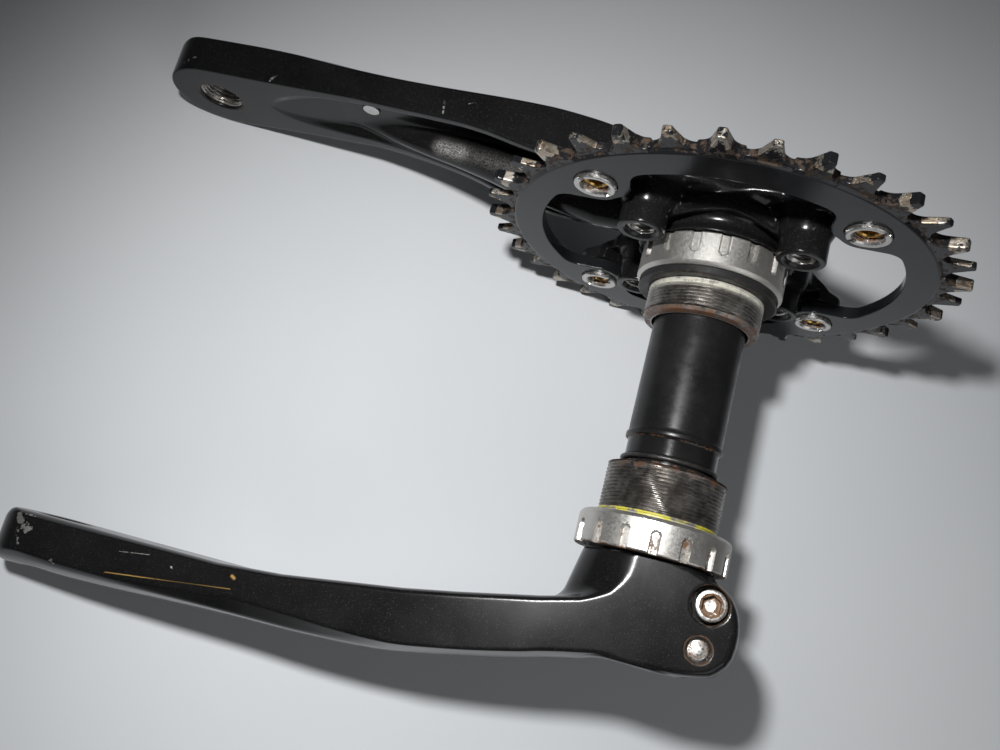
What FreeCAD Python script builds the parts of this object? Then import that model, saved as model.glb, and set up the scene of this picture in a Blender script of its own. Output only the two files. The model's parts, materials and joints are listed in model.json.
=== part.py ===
import FreeCAD, Part
import math
import os
from FreeCAD import Vector, Rotation, Placement

# Bicycle crankset with an outboard-bearing bottom bracket, millimetres.
# Origin: centre of the bottom-bracket shell, on the spindle axis.
# +Y runs along the spindle towards the left arm, the chainring side is -Y, +Z is up.
# The parts are drawn with both arms along +X, then everything is turned about the
# spindle by REST_DROOP, so the lowest tooth and both arm ends stand on one floor plane.

# ---- driving dimensions ----
GAP = 0.02                    # clearance between fitted surfaces

CRANK_LENGTH = 175.0          # spindle axis to pedal axis
ARM_END_R = 17.0              # rounded pedal end of each arm, side view
PEDAL_HOLE_R = 7.14           # 9/16 in pedal thread, major radius
PEDAL_SINK_R = 8.2
PEDAL_SINK_DEPTH = 1.06
INNER_FACE_RIGHT = -72.4      # y of the flat pedal face of the right arm
INNER_FACE_LEFT = 76.8        # y of the flat pedal face of the left arm
STATION_STEP = 12.0           # approximate spacing of the loft sections along an arm

SPINDLE_R = 12.0
SPINDLE_BORE_R = 10.0
SPINDLE_Y = (-77.0, 70.4)

TEETH = 34
PITCH = 12.7
TOOTH_STEP = 360.0 / TEETH
TOOTH_PHASE = 0.5             # angle of tooth 0 from +X towards +Z, degrees
ROLLER_SEAT_R = 3.95
ROLLER_SEAT_HALF_ANGLE = math.radians(52)
TIP_R = 72.3
TIP_HALF_WIDTH = 1.25
NARROW_T = 2.1                # thickness of the narrow teeth
WIDE_T = 3.6                  # thickness of the wide teeth
RING_OUTER_Y = -52.6          # plate face towards the right arm
RING_INNER_Y = -48.6          # plate face towards the frame
RING_MID_Y = 0.5 * (RING_OUTER_Y + RING_INNER_Y)
RING_FACE_R = 64.0
RING_CHAMFER = 0.8

BOLT_PCD_R = 52.0             # chainring bolts, 104 mm circle
NUT_SLEEVE_R = 5.0
NUT_HOLE_R = 5.05
BOSS_PCD_R = 32.0             # inner ring bosses, 64 mm circle
BOSS_R = 7.0
BOSS_HOLE_R = 4.0
BOSS_FACE_Y = -43.4
BOSS_SINK = 0.8
SPIDER_FACE_Y = RING_OUTER_Y - 0.05
TAB_OUTER_Y = -57.6
TAB_R = 8.0

HOLLOW_X = (94, 143)          # centres of the round ends of the right arm's hollow
HOLLOW_R = 8.0
HOLLOW_FLOOR_Y = INNER_FACE_RIGHT - 3.0
PLUG_X = 119.5
PLUG_Z = 4.5

SHELL_HALF = 35.3             # left end of the frame shell from the origin
SPACER_T = 2.5
DRIVE_FLANGE_OUTER_Y = -47.9
DRIVE_FLANGE_INNER_Y = -(SHELL_HALF + SPACER_T)
LEFT_FLANGE_OUTER_Y = 45.1
CUP_FLANGE_R = 22.0
CUP_THREAD_R = 17.4           # 1.37 in x 24 thread, major radius
CUP_RELIEF_R = 17.0           # thread relief next to each flange
CUP_BORE_R = 14.6
CUP_NOTCHES = 16
NOTCH_W = 3.0
NOTCH_DEPTH = 1.3
NOTCH_LENGTH = 6.4

BEARING_BORE_R = 12.5         # 25 x 37 x 7 bearing
BEARING_OUT_R = 18.5
BEARING_W = 7.0
BALL_R = 1.75
BALL_PITCH_R = 15.5
BALL_COUNT = 17
DRIVE_BEARING_Y = -43.5
LEFT_BEARING_Y = 40.7

# x, y and head direction along z of each pinch bolt
PINCH_BOLTS = [(-18.4, 53.8, 1), (-17.2, 65.8, -1)]
SLIT_HALF = 1.25
CLAMP_HALF_H = 16.0
STOPPER_PIN_X = -14.0
STOPPER_PIN_Y = 60.0
HEX_SOCKET = 5.0              # across flats, all bolts

REST_DROOP = math.degrees(math.asin((TIP_R - ARM_END_R) / CRANK_LENGTH))
SPIN = Placement(Vector(0, 0, 0), Rotation(Vector(0, 1, 0), REST_DROOP))


# ---- helpers ----
def cyl(radius, y_start, y_end, x=0.0, z=0.0):
    return Part.makeCylinder(radius, y_end - y_start, Vector(x, y_start, z), Vector(0, 1, 0))


def tube(outer_r, inner_r, y_start, y_end):
    return cyl(outer_r, y_start, y_end).cut(cyl(inner_r, y_start - 1, y_end + 1))


def torus(y, centre_r, section_r):
    return Part.makeTorus(centre_r, section_r, Vector(0, y, 0), Vector(0, 1, 0))


def line(start, end):
    return Part.LineSegment(start, end).toShape()


def spline(points):
    curve = Part.BSplineCurve()
    curve.interpolate(points)
    return curve.toShape()


def polygon(points):
    return Part.Face(Part.makePolygon(points + [points[0]]))


def revolve(profile):
    """Solid of revolution about the spindle axis from (radius, y) points."""
    face = polygon([Vector(radius, y, 0) for radius, y in profile])
    return face.revolve(Vector(0, 0, 0), Vector(0, 1, 0), 360)


def hexagon(centre, side_axis, depth):
    """Hex socket tool; its section lies in X and side_axis, depth is a vector."""
    radius = HEX_SOCKET / math.sqrt(3)
    corners = []
    for k in range(6):
        angle = math.radians(60 * k)
        offset = Vector(radius * math.cos(angle), 0, 0) + side_axis * (radius * math.sin(angle))
        corners.append(centre + offset)
    return polygon(corners).extrude(depth)


def around(shape, count, start=0.0):
    """Evenly spaced copies about the spindle; angles run from +X towards +Z."""
    copies = []
    for k in range(count):
        turned = shape.copy()
        turned.rotate(Vector(0, 0, 0), Vector(0, 1, 0), -(start + 360.0 * k / count))
        copies.append(turned)
    return copies


def diagonal(shape):
    """Four copies, at 45, 135, 225 and 315 degrees."""
    return around(shape, 4, 45)


def fuse(shapes):
    return shapes[0].multiFuse(shapes[1:]).removeSplitter()


def cut(shape, tools):
    return shape.cut(Part.makeCompound(tools))


# ---- parts shared by both arms ----
def resample(stations):
    """Evenly spaced stations, by shape-preserving cubic interpolation."""
    xs = [station[0] for station in stations]
    span = xs[-1] - xs[0]
    count = int(round(span / STATION_STEP))
    even_xs = [xs[0] + span * k / count for k in range(count + 1)]
    columns = [even_xs]
    for values in list(zip(*stations))[1:]:
        chords = [(values[i + 1] - values[i]) / (xs[i + 1] - xs[i]) for i in range(len(xs) - 1)]
        # a harmonic mean of neighbouring slopes keeps the curve from overshooting
        middle = [0.0 if before * after <= 0 else 2 * before * after / (before + after)
                  for before, after in zip(chords, chords[1:])]
        slopes = [chords[0]] + middle + [chords[-1]]
        column = []
        for x in even_xs:
            i = min(sum(1 for known in xs if known <= x) - 1, len(chords) - 1)
            width = xs[i + 1] - xs[i]
            t = (x - xs[i]) / width
            column.append((2 * t ** 3 - 3 * t * t + 1) * values[i]
                          + (t ** 3 - 2 * t * t + t) * width * slopes[i]
                          + (3 * t * t - 2 * t ** 3) * values[i + 1]
                          + (t ** 3 - t * t) * width * slopes[i + 1])
        columns.append(column)
    return list(zip(*columns))


def arm_beam(stations):
    """Arm body: flat inner face, flat top and bottom, crowned outer face."""
    wires = []
    for x, inner, edge, crown, half_h in resample(stations):
        inner_low, inner_high = Vector(x, inner, -half_h), Vector(x, inner, half_h)
        outer_high, outer_low = Vector(x, edge, half_h), Vector(x, edge, -half_h)
        arc = Part.Arc(outer_high, Vector(x, crown, 0), outer_low).toShape()
        wires.append(Part.Wire([line(inner_low, inner_high), line(inner_high, outer_high),
                                arc, line(outer_low, inner_low)]))
    return Part.makeLoft(wires, True, False)


def side_outline(edge, y_start, y_end):
    """Side view of an arm: (x, z) edge curve, its mirror image and the round pedal end."""
    upper = [Vector(x, y_start, z) for x, z in edge]
    lower = [Vector(x, y_start, -z) for x, z in edge]
    end_point = Vector(CRANK_LENGTH + ARM_END_R, y_start, 0)
    end_arc = Part.Arc(upper[-1], end_point, lower[-1]).toShape()
    wire = Part.Wire([line(lower[0], upper[0]), spline(upper), end_arc,
                      spline(list(reversed(lower)))])
    return Part.Face(wire).extrude(Vector(0, y_end - y_start, 0))


def pedal_hole(y_start, y_end, face_y, outward):
    """Pedal hole and the countersink in the arm's inner face."""
    sink = Part.makeCone(PEDAL_SINK_R, PEDAL_HOLE_R, PEDAL_SINK_DEPTH,
                         Vector(CRANK_LENGTH, face_y - outward * 0.01, 0),
                         Vector(0, outward, 0))
    return [cyl(PEDAL_HOLE_R, y_start, y_end, CRANK_LENGTH), sink]


# ---- chainring: alternating wide and narrow teeth, four bolt tabs ----
def tooth_outline(y):
    pitch_r = PITCH / (2 * math.sin(math.pi / TEETH))

    def point(radius, degrees, tangential):
        angle = math.radians(degrees)
        cosine, sine = math.cos(angle), math.sin(angle)
        return Vector(radius * cosine - tangential * sine, y,
                      radius * sine + tangential * cosine)

    seat_end_r = pitch_r - ROLLER_SEAT_R * math.cos(ROLLER_SEAT_HALF_ANGLE)
    seat_half = ROLLER_SEAT_R * math.sin(ROLLER_SEAT_HALF_ANGLE)
    edges = []
    for k in range(TEETH):
        valley = TOOTH_PHASE + (k + 0.5) * TOOTH_STEP    # middle of the gap after tooth k
        next_tooth = valley + TOOTH_STEP / 2
        tip_before = point(TIP_R, valley - TOOTH_STEP / 2, TIP_HALF_WIDTH)
        seat_start = point(seat_end_r, valley, -seat_half)
        seat_middle = point(pitch_r - ROLLER_SEAT_R, valley, 0)
        seat_end = point(seat_end_r, valley, seat_half)
        tip_after = point(TIP_R, next_tooth, -TIP_HALF_WIDTH)
        edges += [line(tip_before, seat_start),
                  Part.Arc(seat_start, seat_middle, seat_end).toShape(),
                  line(seat_end, tip_after),
                  line(tip_after, point(TIP_R, next_tooth, TIP_HALF_WIDTH))]
    return Part.Wire(edges)


def toothed_band():
    """All teeth at full width, with every second one thinned on both faces."""
    wide = Part.Face(tooth_outline(RING_MID_Y - WIDE_T / 2)).extrude(Vector(0, WIDE_T, 0))
    half = math.radians(TOOTH_STEP / 2)
    sector = [(63.3, -half), (80, -half), (80, half), (63.3, half)]    # radius, angle
    cutters = []
    for y_start, y_end in ((RING_MID_Y + NARROW_T / 2, RING_MID_Y + 5),
                           (RING_MID_Y - 5, RING_MID_Y - NARROW_T / 2)):
        face = polygon([Vector(radius * math.cos(angle), y_start, radius * math.sin(angle))
                        for radius, angle in sector])
        wedge = face.extrude(Vector(0, y_end - y_start, 0))
        cutters += around(wedge, TEETH // 2, TOOTH_PHASE + TOOTH_STEP)
    return cut(wide, cutters)


def ring_opening(y_start, y_end):
    """A round middle with one slot across and one up and down, leaving four bolt tabs."""
    depth = y_end - y_start
    across = Part.makeBox(120, depth, 54, Vector(-60, y_start, -27))
    across = across.common(cyl(54.5, y_start, y_end))
    upright = Part.makeBox(54, depth, 120, Vector(-27, y_start, -60))
    upright = upright.common(cyl(52.5, y_start, y_end))
    opening = fuse([cyl(43.0, y_start, y_end), across, upright])
    # the fillet may fail on these edges; the opening then keeps its sharp corners
    try:
        corners = [edge for edge in opening.Edges
                   if abs(edge.tangentAt(edge.FirstParameter).y) > 0.99
                   and math.hypot(edge.Vertexes[0].X, edge.Vertexes[0].Z) > 45]
        opening = opening.makeFillet(4.5, corners)
    except Exception:
        pass
    return opening


def chainring():
    rim_r = RING_FACE_R - RING_CHAMFER
    plate = revolve([(20, RING_OUTER_Y), (rim_r, RING_OUTER_Y),
                     (RING_FACE_R, RING_OUTER_Y + RING_CHAMFER),
                     (RING_FACE_R, RING_INNER_Y - RING_CHAMFER),
                     (rim_r, RING_INNER_Y), (20, RING_INNER_Y)])
    body = plate.fuse(toothed_band())
    y_start, y_end = RING_OUTER_Y - 2, RING_INNER_Y + 2
    tools = [ring_opening(y_start, y_end)]
    tools += diagonal(cyl(NUT_HOLE_R, y_start, y_end, BOLT_PCD_R))
    tools += diagonal(cyl(6.95, RING_INNER_Y - 0.8, y_end, BOLT_PCD_R))    # nut flange seats
    return cut(body, tools).removeSplitter()


def chainring_bolts():
    bolt = fuse([cyl(6.6, -57.5, -55.95), cyl(3.95, -55.95, -50.2)])
    socket = hexagon(Vector(0, -60, 0), Vector(0, 0, 1), Vector(0, 6.5, 0))
    bolt = bolt.cut(socket).cut(cyl(2.4, -60, -40))
    bolt.translate(Vector(BOLT_PCD_R, 0, 0))
    return Part.makeCompound(diagonal(bolt))


def chainring_nuts():
    flange_y = RING_INNER_Y - 0.76
    nut = revolve([(4.15, -55.2), (NUT_SLEEVE_R, -55.2), (NUT_SLEEVE_R, flange_y),
                   (6.75, flange_y), (6.75, -47.75), (6.4, -47.4), (4.55, -47.4),
                   (4.15, -47.8)])
    nut = nut.cut(Part.makeBox(20, 1.0, 1.5, Vector(-10, -48.3, -0.75)))    # slot
    nut.translate(Vector(BOLT_PCD_R, 0, 0))
    return Part.makeCompound(diagonal(nut))


# ---- right arm with its four-arm spider ----
# x, y of inner face, y of outer edge, y of outer crown, half height
RIGHT_STATIONS = [
    (12, -62.5, -75.5, -78.5, 20.0), (26, -65.0, -76.8, -79.8, 19.2),
    (44, -67.0, -81.0, -84.2, 18.2), (60, -68.5, -82.6, -86.0, 17.6),
    (76, -70.2, -83.5, -86.8, 17.0), (93, -71.8, -83.5, -86.8, 16.4),
    (114, INNER_FACE_RIGHT, -84.0, -87.2, 16.2), (138, INNER_FACE_RIGHT, -85.0, -88.1, 16.2),
    (162, INNER_FACE_RIGHT, -85.4, -88.6, 16.6), (196, INNER_FACE_RIGHT, -85.4, -88.6, 17.4)]
# x, z of the upper edge in side view
RIGHT_EDGE = [(11, 21.0), (30, 19.2), (50, 18.0), (76, 17.0), (100, 16.3), (125, 16.1),
              (150, 16.3), (CRANK_LENGTH, ARM_END_R)]
# radius, y
RIGHT_HUB = [(0, -78.6), (19.5, -78.6), (22.0, -76.0), (22.0, -60.0), (20.5, -56.0),
             (20.5, -48.9), (19.9, -48.3), (14.0, -48.3), (14.0, -47.9), (0, -47.9)]


def spider_tab():
    depth = SPIDER_FACE_Y - TAB_OUTER_Y
    return fuse([cyl(TAB_R, TAB_OUTER_Y, SPIDER_FACE_Y, BOLT_PCD_R),
                 Part.makeBox(BOLT_PCD_R, depth, 2 * TAB_R, Vector(0, TAB_OUTER_Y, -TAB_R))])


def spider_rib():
    """Rib of one spider arm, thick at the hub and thin at the bolt tab."""
    profile = [(0, SPIDER_FACE_Y), (0, -66.0), (26, -66.0), (46, TAB_OUTER_Y),
               (46, SPIDER_FACE_Y)]
    return polygon([Vector(x, y, -6.5) for x, y in profile]).extrude(Vector(0, 0, 13))


def arm_hollow():
    """Long round-ended hollow in the inner face of the right arm."""
    start, end = HOLLOW_X
    slot = fuse([cyl(HOLLOW_R, HOLLOW_FLOOR_Y, -60, start),
                 cyl(HOLLOW_R, HOLLOW_FLOOR_Y, -60, end),
                 Part.makeBox(end - start, 60, 2 * HOLLOW_R,
                              Vector(start, HOLLOW_FLOOR_Y, -HOLLOW_R))])
    below_face = Part.makeBox(200, 3.02, 60, Vector(80, HOLLOW_FLOOR_Y, -30))
    above_face = Part.makeBox(60, 12, 60, Vector(80, INNER_FACE_RIGHT, -30))
    return slot.common(below_face.fuse(above_face))


def right_arm():
    beam = arm_beam(RIGHT_STATIONS).common(side_outline(RIGHT_EDGE, -95, -55))
    boss = cyl(BOSS_R, -60.0, BOSS_FACE_Y, BOSS_PCD_R)
    web = cyl(30.0, -62.0, -56.0)
    parts = [beam] + diagonal(spider_tab()) + diagonal(spider_rib()) + diagonal(boss) + [web]
    body = revolve(RIGHT_HUB).multiFuse(parts)
    tools = [cyl(SPINDLE_R + GAP, -90, -40)]
    tools += pedal_hole(-100, -60, INNER_FACE_RIGHT, -1)
    # through hole and recessed head seat of each chainring bolt
    tools += diagonal(cyl(NUT_HOLE_R, -70, -50, BOLT_PCD_R))
    tools += diagonal(cyl(6.9, -70, -55.9, BOLT_PCD_R))
    # hole and countersink of each boss
    tools += diagonal(cyl(BOSS_HOLE_R, -56.0, -40, BOSS_PCD_R))
    tools += diagonal(Part.makeCone(BOSS_HOLE_R, BOSS_HOLE_R + BOSS_SINK, BOSS_SINK,
                                    Vector(BOSS_PCD_R, BOSS_FACE_Y - BOSS_SINK + 0.01, 0),
                                    Vector(0, 1, 0)))
    tools.append(arm_hollow())
    tools.append(cyl(2.8, INNER_FACE_RIGHT - 4.0, -60, PLUG_X, PLUG_Z))    # plug seat
    return cut(body, tools).removeSplitter()


def arm_core_plug():
    return cyl(2.75, INNER_FACE_RIGHT - 3.9, INNER_FACE_RIGHT - 2.8, PLUG_X, PLUG_Z)


# ---- left arm: split clamp hub with two opposed pinch bolts ----
# x, y of inner face, y of outer edge, y of outer crown, half height
LEFT_STATIONS = [
    (5, 53.2, 74.4, 77.9, 16.6), (12, 58.5, 75.5, 79.2, 16.7), (26, 62.4, 78.6, 82.1, 16.6),
    (48, 67.1, 83.6, 87.0, 16.4), (64, 70.1, 86.0, 89.0, 16.3), (82, 73.0, 88.0, 90.3, 16.2),
    (99, 75.2, 88.9, 91.1, 16.2), (118, 76.6, 89.2, 91.5, 16.2),
    (150, INNER_FACE_LEFT, 89.8, 92.6, 16.4), (196, INNER_FACE_LEFT, 90.0, 93.4, 17.4)]
# x, z of the upper edge in side view
LEFT_EDGE = [(-1, 16.6), (12, 16.7), (30, 16.6), (50, 16.4), (76, 16.2), (100, 16.2),
             (125, 16.2), (150, 16.4), (CRANK_LENGTH, ARM_END_R)]
# radius, y
LEFT_BARREL = [(0, 46.5), (18.4, 46.5), (19.0, 47.1), (21.4, 60.0), (21.6, 70.0),
               (20.5, 74.4), (17.5, 76.6), (0, 76.6)]
# x, y of the clamp block seen from above: -X end, outer side, and step at the arm root
CLAMP_END = [(-15, 46.5), (-20.5, 46.8), (-24.6, 50.0), (-27.3, 56.0), (-27.6, 63.0),
             (-24.0, 70.6), (-17.0, 73.4)]
CLAMP_OUTER = [(-17.0, 73.4), (-4.0, 73.9), (6.0, 74.5)]
CLAMP_STEP = [(6.0, 53.2), (4.2, 50.0), (3.6, 46.5)]


def clamp_block():
    end, outer, step = [[Vector(x, y, 0) for x, y in points]
                        for points in (CLAMP_END, CLAMP_OUTER, CLAMP_STEP)]
    wire = Part.Wire([line(step[-1], end[0]), spline(end), spline(outer),
                      line(outer[-1], step[0]), spline(step)])
    block = Part.Face(wire).extrude(Vector(0, 0, 2 * CLAMP_HALF_H))
    block.translate(Vector(0, 0, -CLAMP_HALF_H))
    return block


def left_arm():
    beam = arm_beam(LEFT_STATIONS).common(side_outline(LEFT_EDGE, 40, 110))
    body = clamp_block().multiFuse([beam, revolve(LEFT_BARREL)])
    body = body.fuse(cyl(14.0, LEFT_FLANGE_OUTER_Y + 0.03, 47.0))
    tools = [cyl(SPINDLE_R + GAP, 40, 71.0), cyl(13.7, 71.0, 90)]
    tools += pedal_hole(60, 110, INNER_FACE_LEFT, 1)
    tools.append(Part.makeBox(40, 40, 2 * SLIT_HALF, Vector(-45, 44, -SLIT_HALF)))
    for x, y, side in PINCH_BOLTS:
        tools.append(Part.makeCylinder(3.05, 60, Vector(x, y, -30)))
        tools.append(Part.makeCylinder(5.8, 20, Vector(x, y, 8.5 * side), Vector(0, 0, side)))
    # shallow round recess opposite each bolt head
    for x, y, side in reversed(PINCH_BOLTS):
        tools.append(Part.makeCylinder(4.2, 20, Vector(x, y, -14.6 * side),
                                       Vector(0, 0, -side)))
    return cut(body, tools).removeSplitter()


def pinch_bolt(x, y, side):
    shank = Part.makeCylinder(3.0, 21.8, Vector(x, y, 8.6 * side), Vector(0, 0, -side))
    head = Part.makeCylinder(4.5, 6.0, Vector(x, y, 8.55 * side), Vector(0, 0, side))
    socket = hexagon(Vector(x, y, 11.4 * side), Vector(0, 1, 0), Vector(0, 0, 5 * side))
    return fuse([head, shank]).cut(socket)


def stopper_plate():
    """Plate in the clamp slit, with a pin that enters the spindle wall."""
    plate = Part.makeBox(12.6, 21.0, 2.1, Vector(-26.0, 49.5, -1.05))
    plate = plate.fuse(Part.makeCylinder(0.95, 3.4, Vector(STOPPER_PIN_X, STOPPER_PIN_Y, 0),
                                         Vector(1, 0, 0)))
    return cut(plate, [Part.makeCylinder(3.2, 10, Vector(x, y, -5)) for x, y, _ in PINCH_BOLTS])


def preload_cap():
    plug_r = SPINDLE_BORE_R - GAP
    body = revolve([(6.6, 62.0), (9.4, 62.0), (plug_r, 62.6), (plug_r, 71.05), (13.4, 71.05),
                    (13.4, 73.0), (12.8, 73.7), (8.2, 73.7), (6.6, 72.4)])
    return cut(body, around(cyl(1.1, 66.0, 80, 7.0), 8))


# ---- spindle and bottom bracket ----
def spindle():
    pin_hole = Part.makeCylinder(1.1, 5, Vector(STOPPER_PIN_X, STOPPER_PIN_Y, 0),
                                 Vector(1, 0, 0))
    return tube(SPINDLE_R, SPINDLE_BORE_R, *SPINDLE_Y).cut(pin_hole)


def flange_notches(outer_y, inward, phase):
    """Round-ended notches in the flange rim, open at its outer face."""
    floor_r = CUP_FLANGE_R - NOTCH_DEPTH
    round_y = outer_y + inward * (NOTCH_LENGTH - NOTCH_W / 2)
    low, high = sorted((outer_y - inward * 1.0, round_y))
    slot = Part.makeBox(4, high - low, NOTCH_W, Vector(floor_r, low, -NOTCH_W / 2))
    slot = slot.fuse(Part.makeCylinder(NOTCH_W / 2, 4, Vector(floor_r, round_y, 0),
                                       Vector(1, 0, 0)))
    return around(slot, CUP_NOTCHES, phase)


def cup(outer_y, inner_y, bearing_y, relief_w, end_y, inward, notch_phase):
    """Threaded cup; inward is the y direction from its flange to the shell centre."""
    seat_r = BEARING_OUT_R + GAP
    seat_y = bearing_y + inward * (BEARING_W / 2 + 0.1)
    relief_y = inner_y + inward * relief_w
    body = revolve([(CUP_BORE_R, seat_y), (seat_r, seat_y), (seat_r, outer_y),
                    (CUP_FLANGE_R - 0.4, outer_y), (CUP_FLANGE_R, outer_y + inward * 0.4),
                    (CUP_FLANGE_R, inner_y - inward * 1.0), (CUP_FLANGE_R - 1.0, inner_y),
                    (CUP_RELIEF_R, inner_y), (CUP_RELIEF_R, relief_y),
                    (CUP_THREAD_R, relief_y), (CUP_THREAD_R, end_y - inward * 1.3),
                    (16.2, end_y), (CUP_BORE_R, end_y)])
    return cut(body, flange_notches(outer_y, inward, notch_phase))


def drive_cup():
    return cup(DRIVE_FLANGE_OUTER_Y, DRIVE_FLANGE_INNER_Y, DRIVE_BEARING_Y,
               relief_w=SPACER_T, end_y=-25.1, inward=1, notch_phase=94.0)


def left_cup():
    return cup(LEFT_FLANGE_OUTER_Y, SHELL_HALF, LEFT_BEARING_Y,
               relief_w=1.0, end_y=19.9, inward=-1, notch_phase=90.6)


def cup_spacer():
    return tube(21.0, CUP_THREAD_R + 0.1, DRIVE_FLANGE_INNER_Y + GAP,
                DRIVE_FLANGE_INNER_Y + SPACER_T)


def center_sleeve():
    return revolve([(12.6, -33.0), (13.6, -33.0), (13.6, -31.4), (12.95, -31.4),
                    (12.95, -29.6), (13.6, -29.6), (13.8, -27.0), (13.8, 10.0),
                    (14.3, 10.2), (14.3, 11.4), (13.3, 11.8), (13.3, 16.9),
                    (12.95, 16.9), (12.95, 18.7), (13.3, 18.7), (13.3, 30.0), (12.6, 30.0)])


def sleeve_o_rings():
    return Part.makeCompound([torus(-30.5, 13.73, 0.75), torus(17.8, 13.72, 0.74)])


def race(outer_r, inner_r, centre_y):
    body = tube(outer_r, inner_r, centre_y - BEARING_W / 2, centre_y + BEARING_W / 2)
    return body.cut(torus(centre_y, BALL_PITCH_R, BALL_R + 0.05))


def balls(centre_y):
    ball = Part.makeSphere(BALL_R, Vector(BALL_PITCH_R, centre_y, 0))
    return Part.makeCompound(around(ball, BALL_COUNT))


def cage(centre_y):
    body = tube(16.05, 14.95, centre_y - 2.6, centre_y + 2.6)
    hole = Part.makeCylinder(BALL_R + 0.1, 6, Vector(12.5, centre_y, 0), Vector(1, 0, 0))
    return cut(body, around(hole, BALL_COUNT))


def seals(centre_y):
    return Part.makeCompound([tube(16.38, 14.7, centre_y - 3.35, centre_y - 2.8),
                              tube(16.38, 14.7, centre_y + 2.8, centre_y + 3.35)])


def bearing_cover(centre_y, outer_y, outward):
    """Thin disc over the bearing and a bush between bearing and spindle."""
    bore_r = SPINDLE_R + GAP
    bush_r = BEARING_BORE_R - GAP
    bush_y = centre_y - outward * 3.3
    disc_y = centre_y + outward * (BEARING_W / 2 + 0.06)
    return revolve([(bore_r, bush_y), (bush_r, bush_y), (bush_r, disc_y), (18.3, disc_y),
                    (18.3, outer_y), (bore_r, outer_y)])


def main():
    os.makedirs("parts", exist_ok=True)
    nodes = {
        "drive_cup": drive_cup(),
        "left_cup": left_cup(),
        "cup_spacer": cup_spacer(),
        "center_sleeve": center_sleeve(),
        "sleeve_o_rings": sleeve_o_rings(),
        "drive_bearing_cover": bearing_cover(DRIVE_BEARING_Y, -47.86, -1),
        "left_bearing_cover": bearing_cover(LEFT_BEARING_Y, 45.07, 1),
        "spindle": spindle(),
        "right_crank_arm": right_arm(),
        "arm_core_plug": arm_core_plug(),
        "chainring": chainring(),
        "chainring_bolts": chainring_bolts(),
        "chainring_nuts": chainring_nuts(),
        "left_crank_arm": left_arm(),
        "pinch_bolts": Part.makeCompound([pinch_bolt(*bolt) for bolt in PINCH_BOLTS]),
        "stopper_plate": stopper_plate(),
        "preload_cap": preload_cap(),
    }
    for side, y in (("drive", DRIVE_BEARING_Y), ("left", LEFT_BEARING_Y)):
        bearing = side + "_bearing_"
        nodes[bearing + "outer_race"] = race(BEARING_OUT_R - GAP, 16.4, y)
        nodes[bearing + "inner_race"] = race(14.6, BEARING_BORE_R + GAP, y)
        nodes[bearing + "seals"] = seals(y)
        nodes[bearing + "balls"] = balls(y)
        nodes[bearing + "cage"] = cage(y)
    for name, shape in nodes.items():
        shape.Placement = SPIN.multiply(shape.Placement)
        shape.exportStep("parts/%s.step" % name)


main()
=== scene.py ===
"""Bicycle crankset with chainring and bottom bracket, lying above a pale board.

Modelled in millimetres in the crank's own axes: X along both arms from the spindle to the
pedal holes, Y along the spindle towards the left arm, Z up. The right arm and the chainring
are at negative Y. Everything is then turned about the spindle by the rest droop into the
shared frame, in metres. Attribute and outline tables are in the crank's axes.
"""

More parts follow.
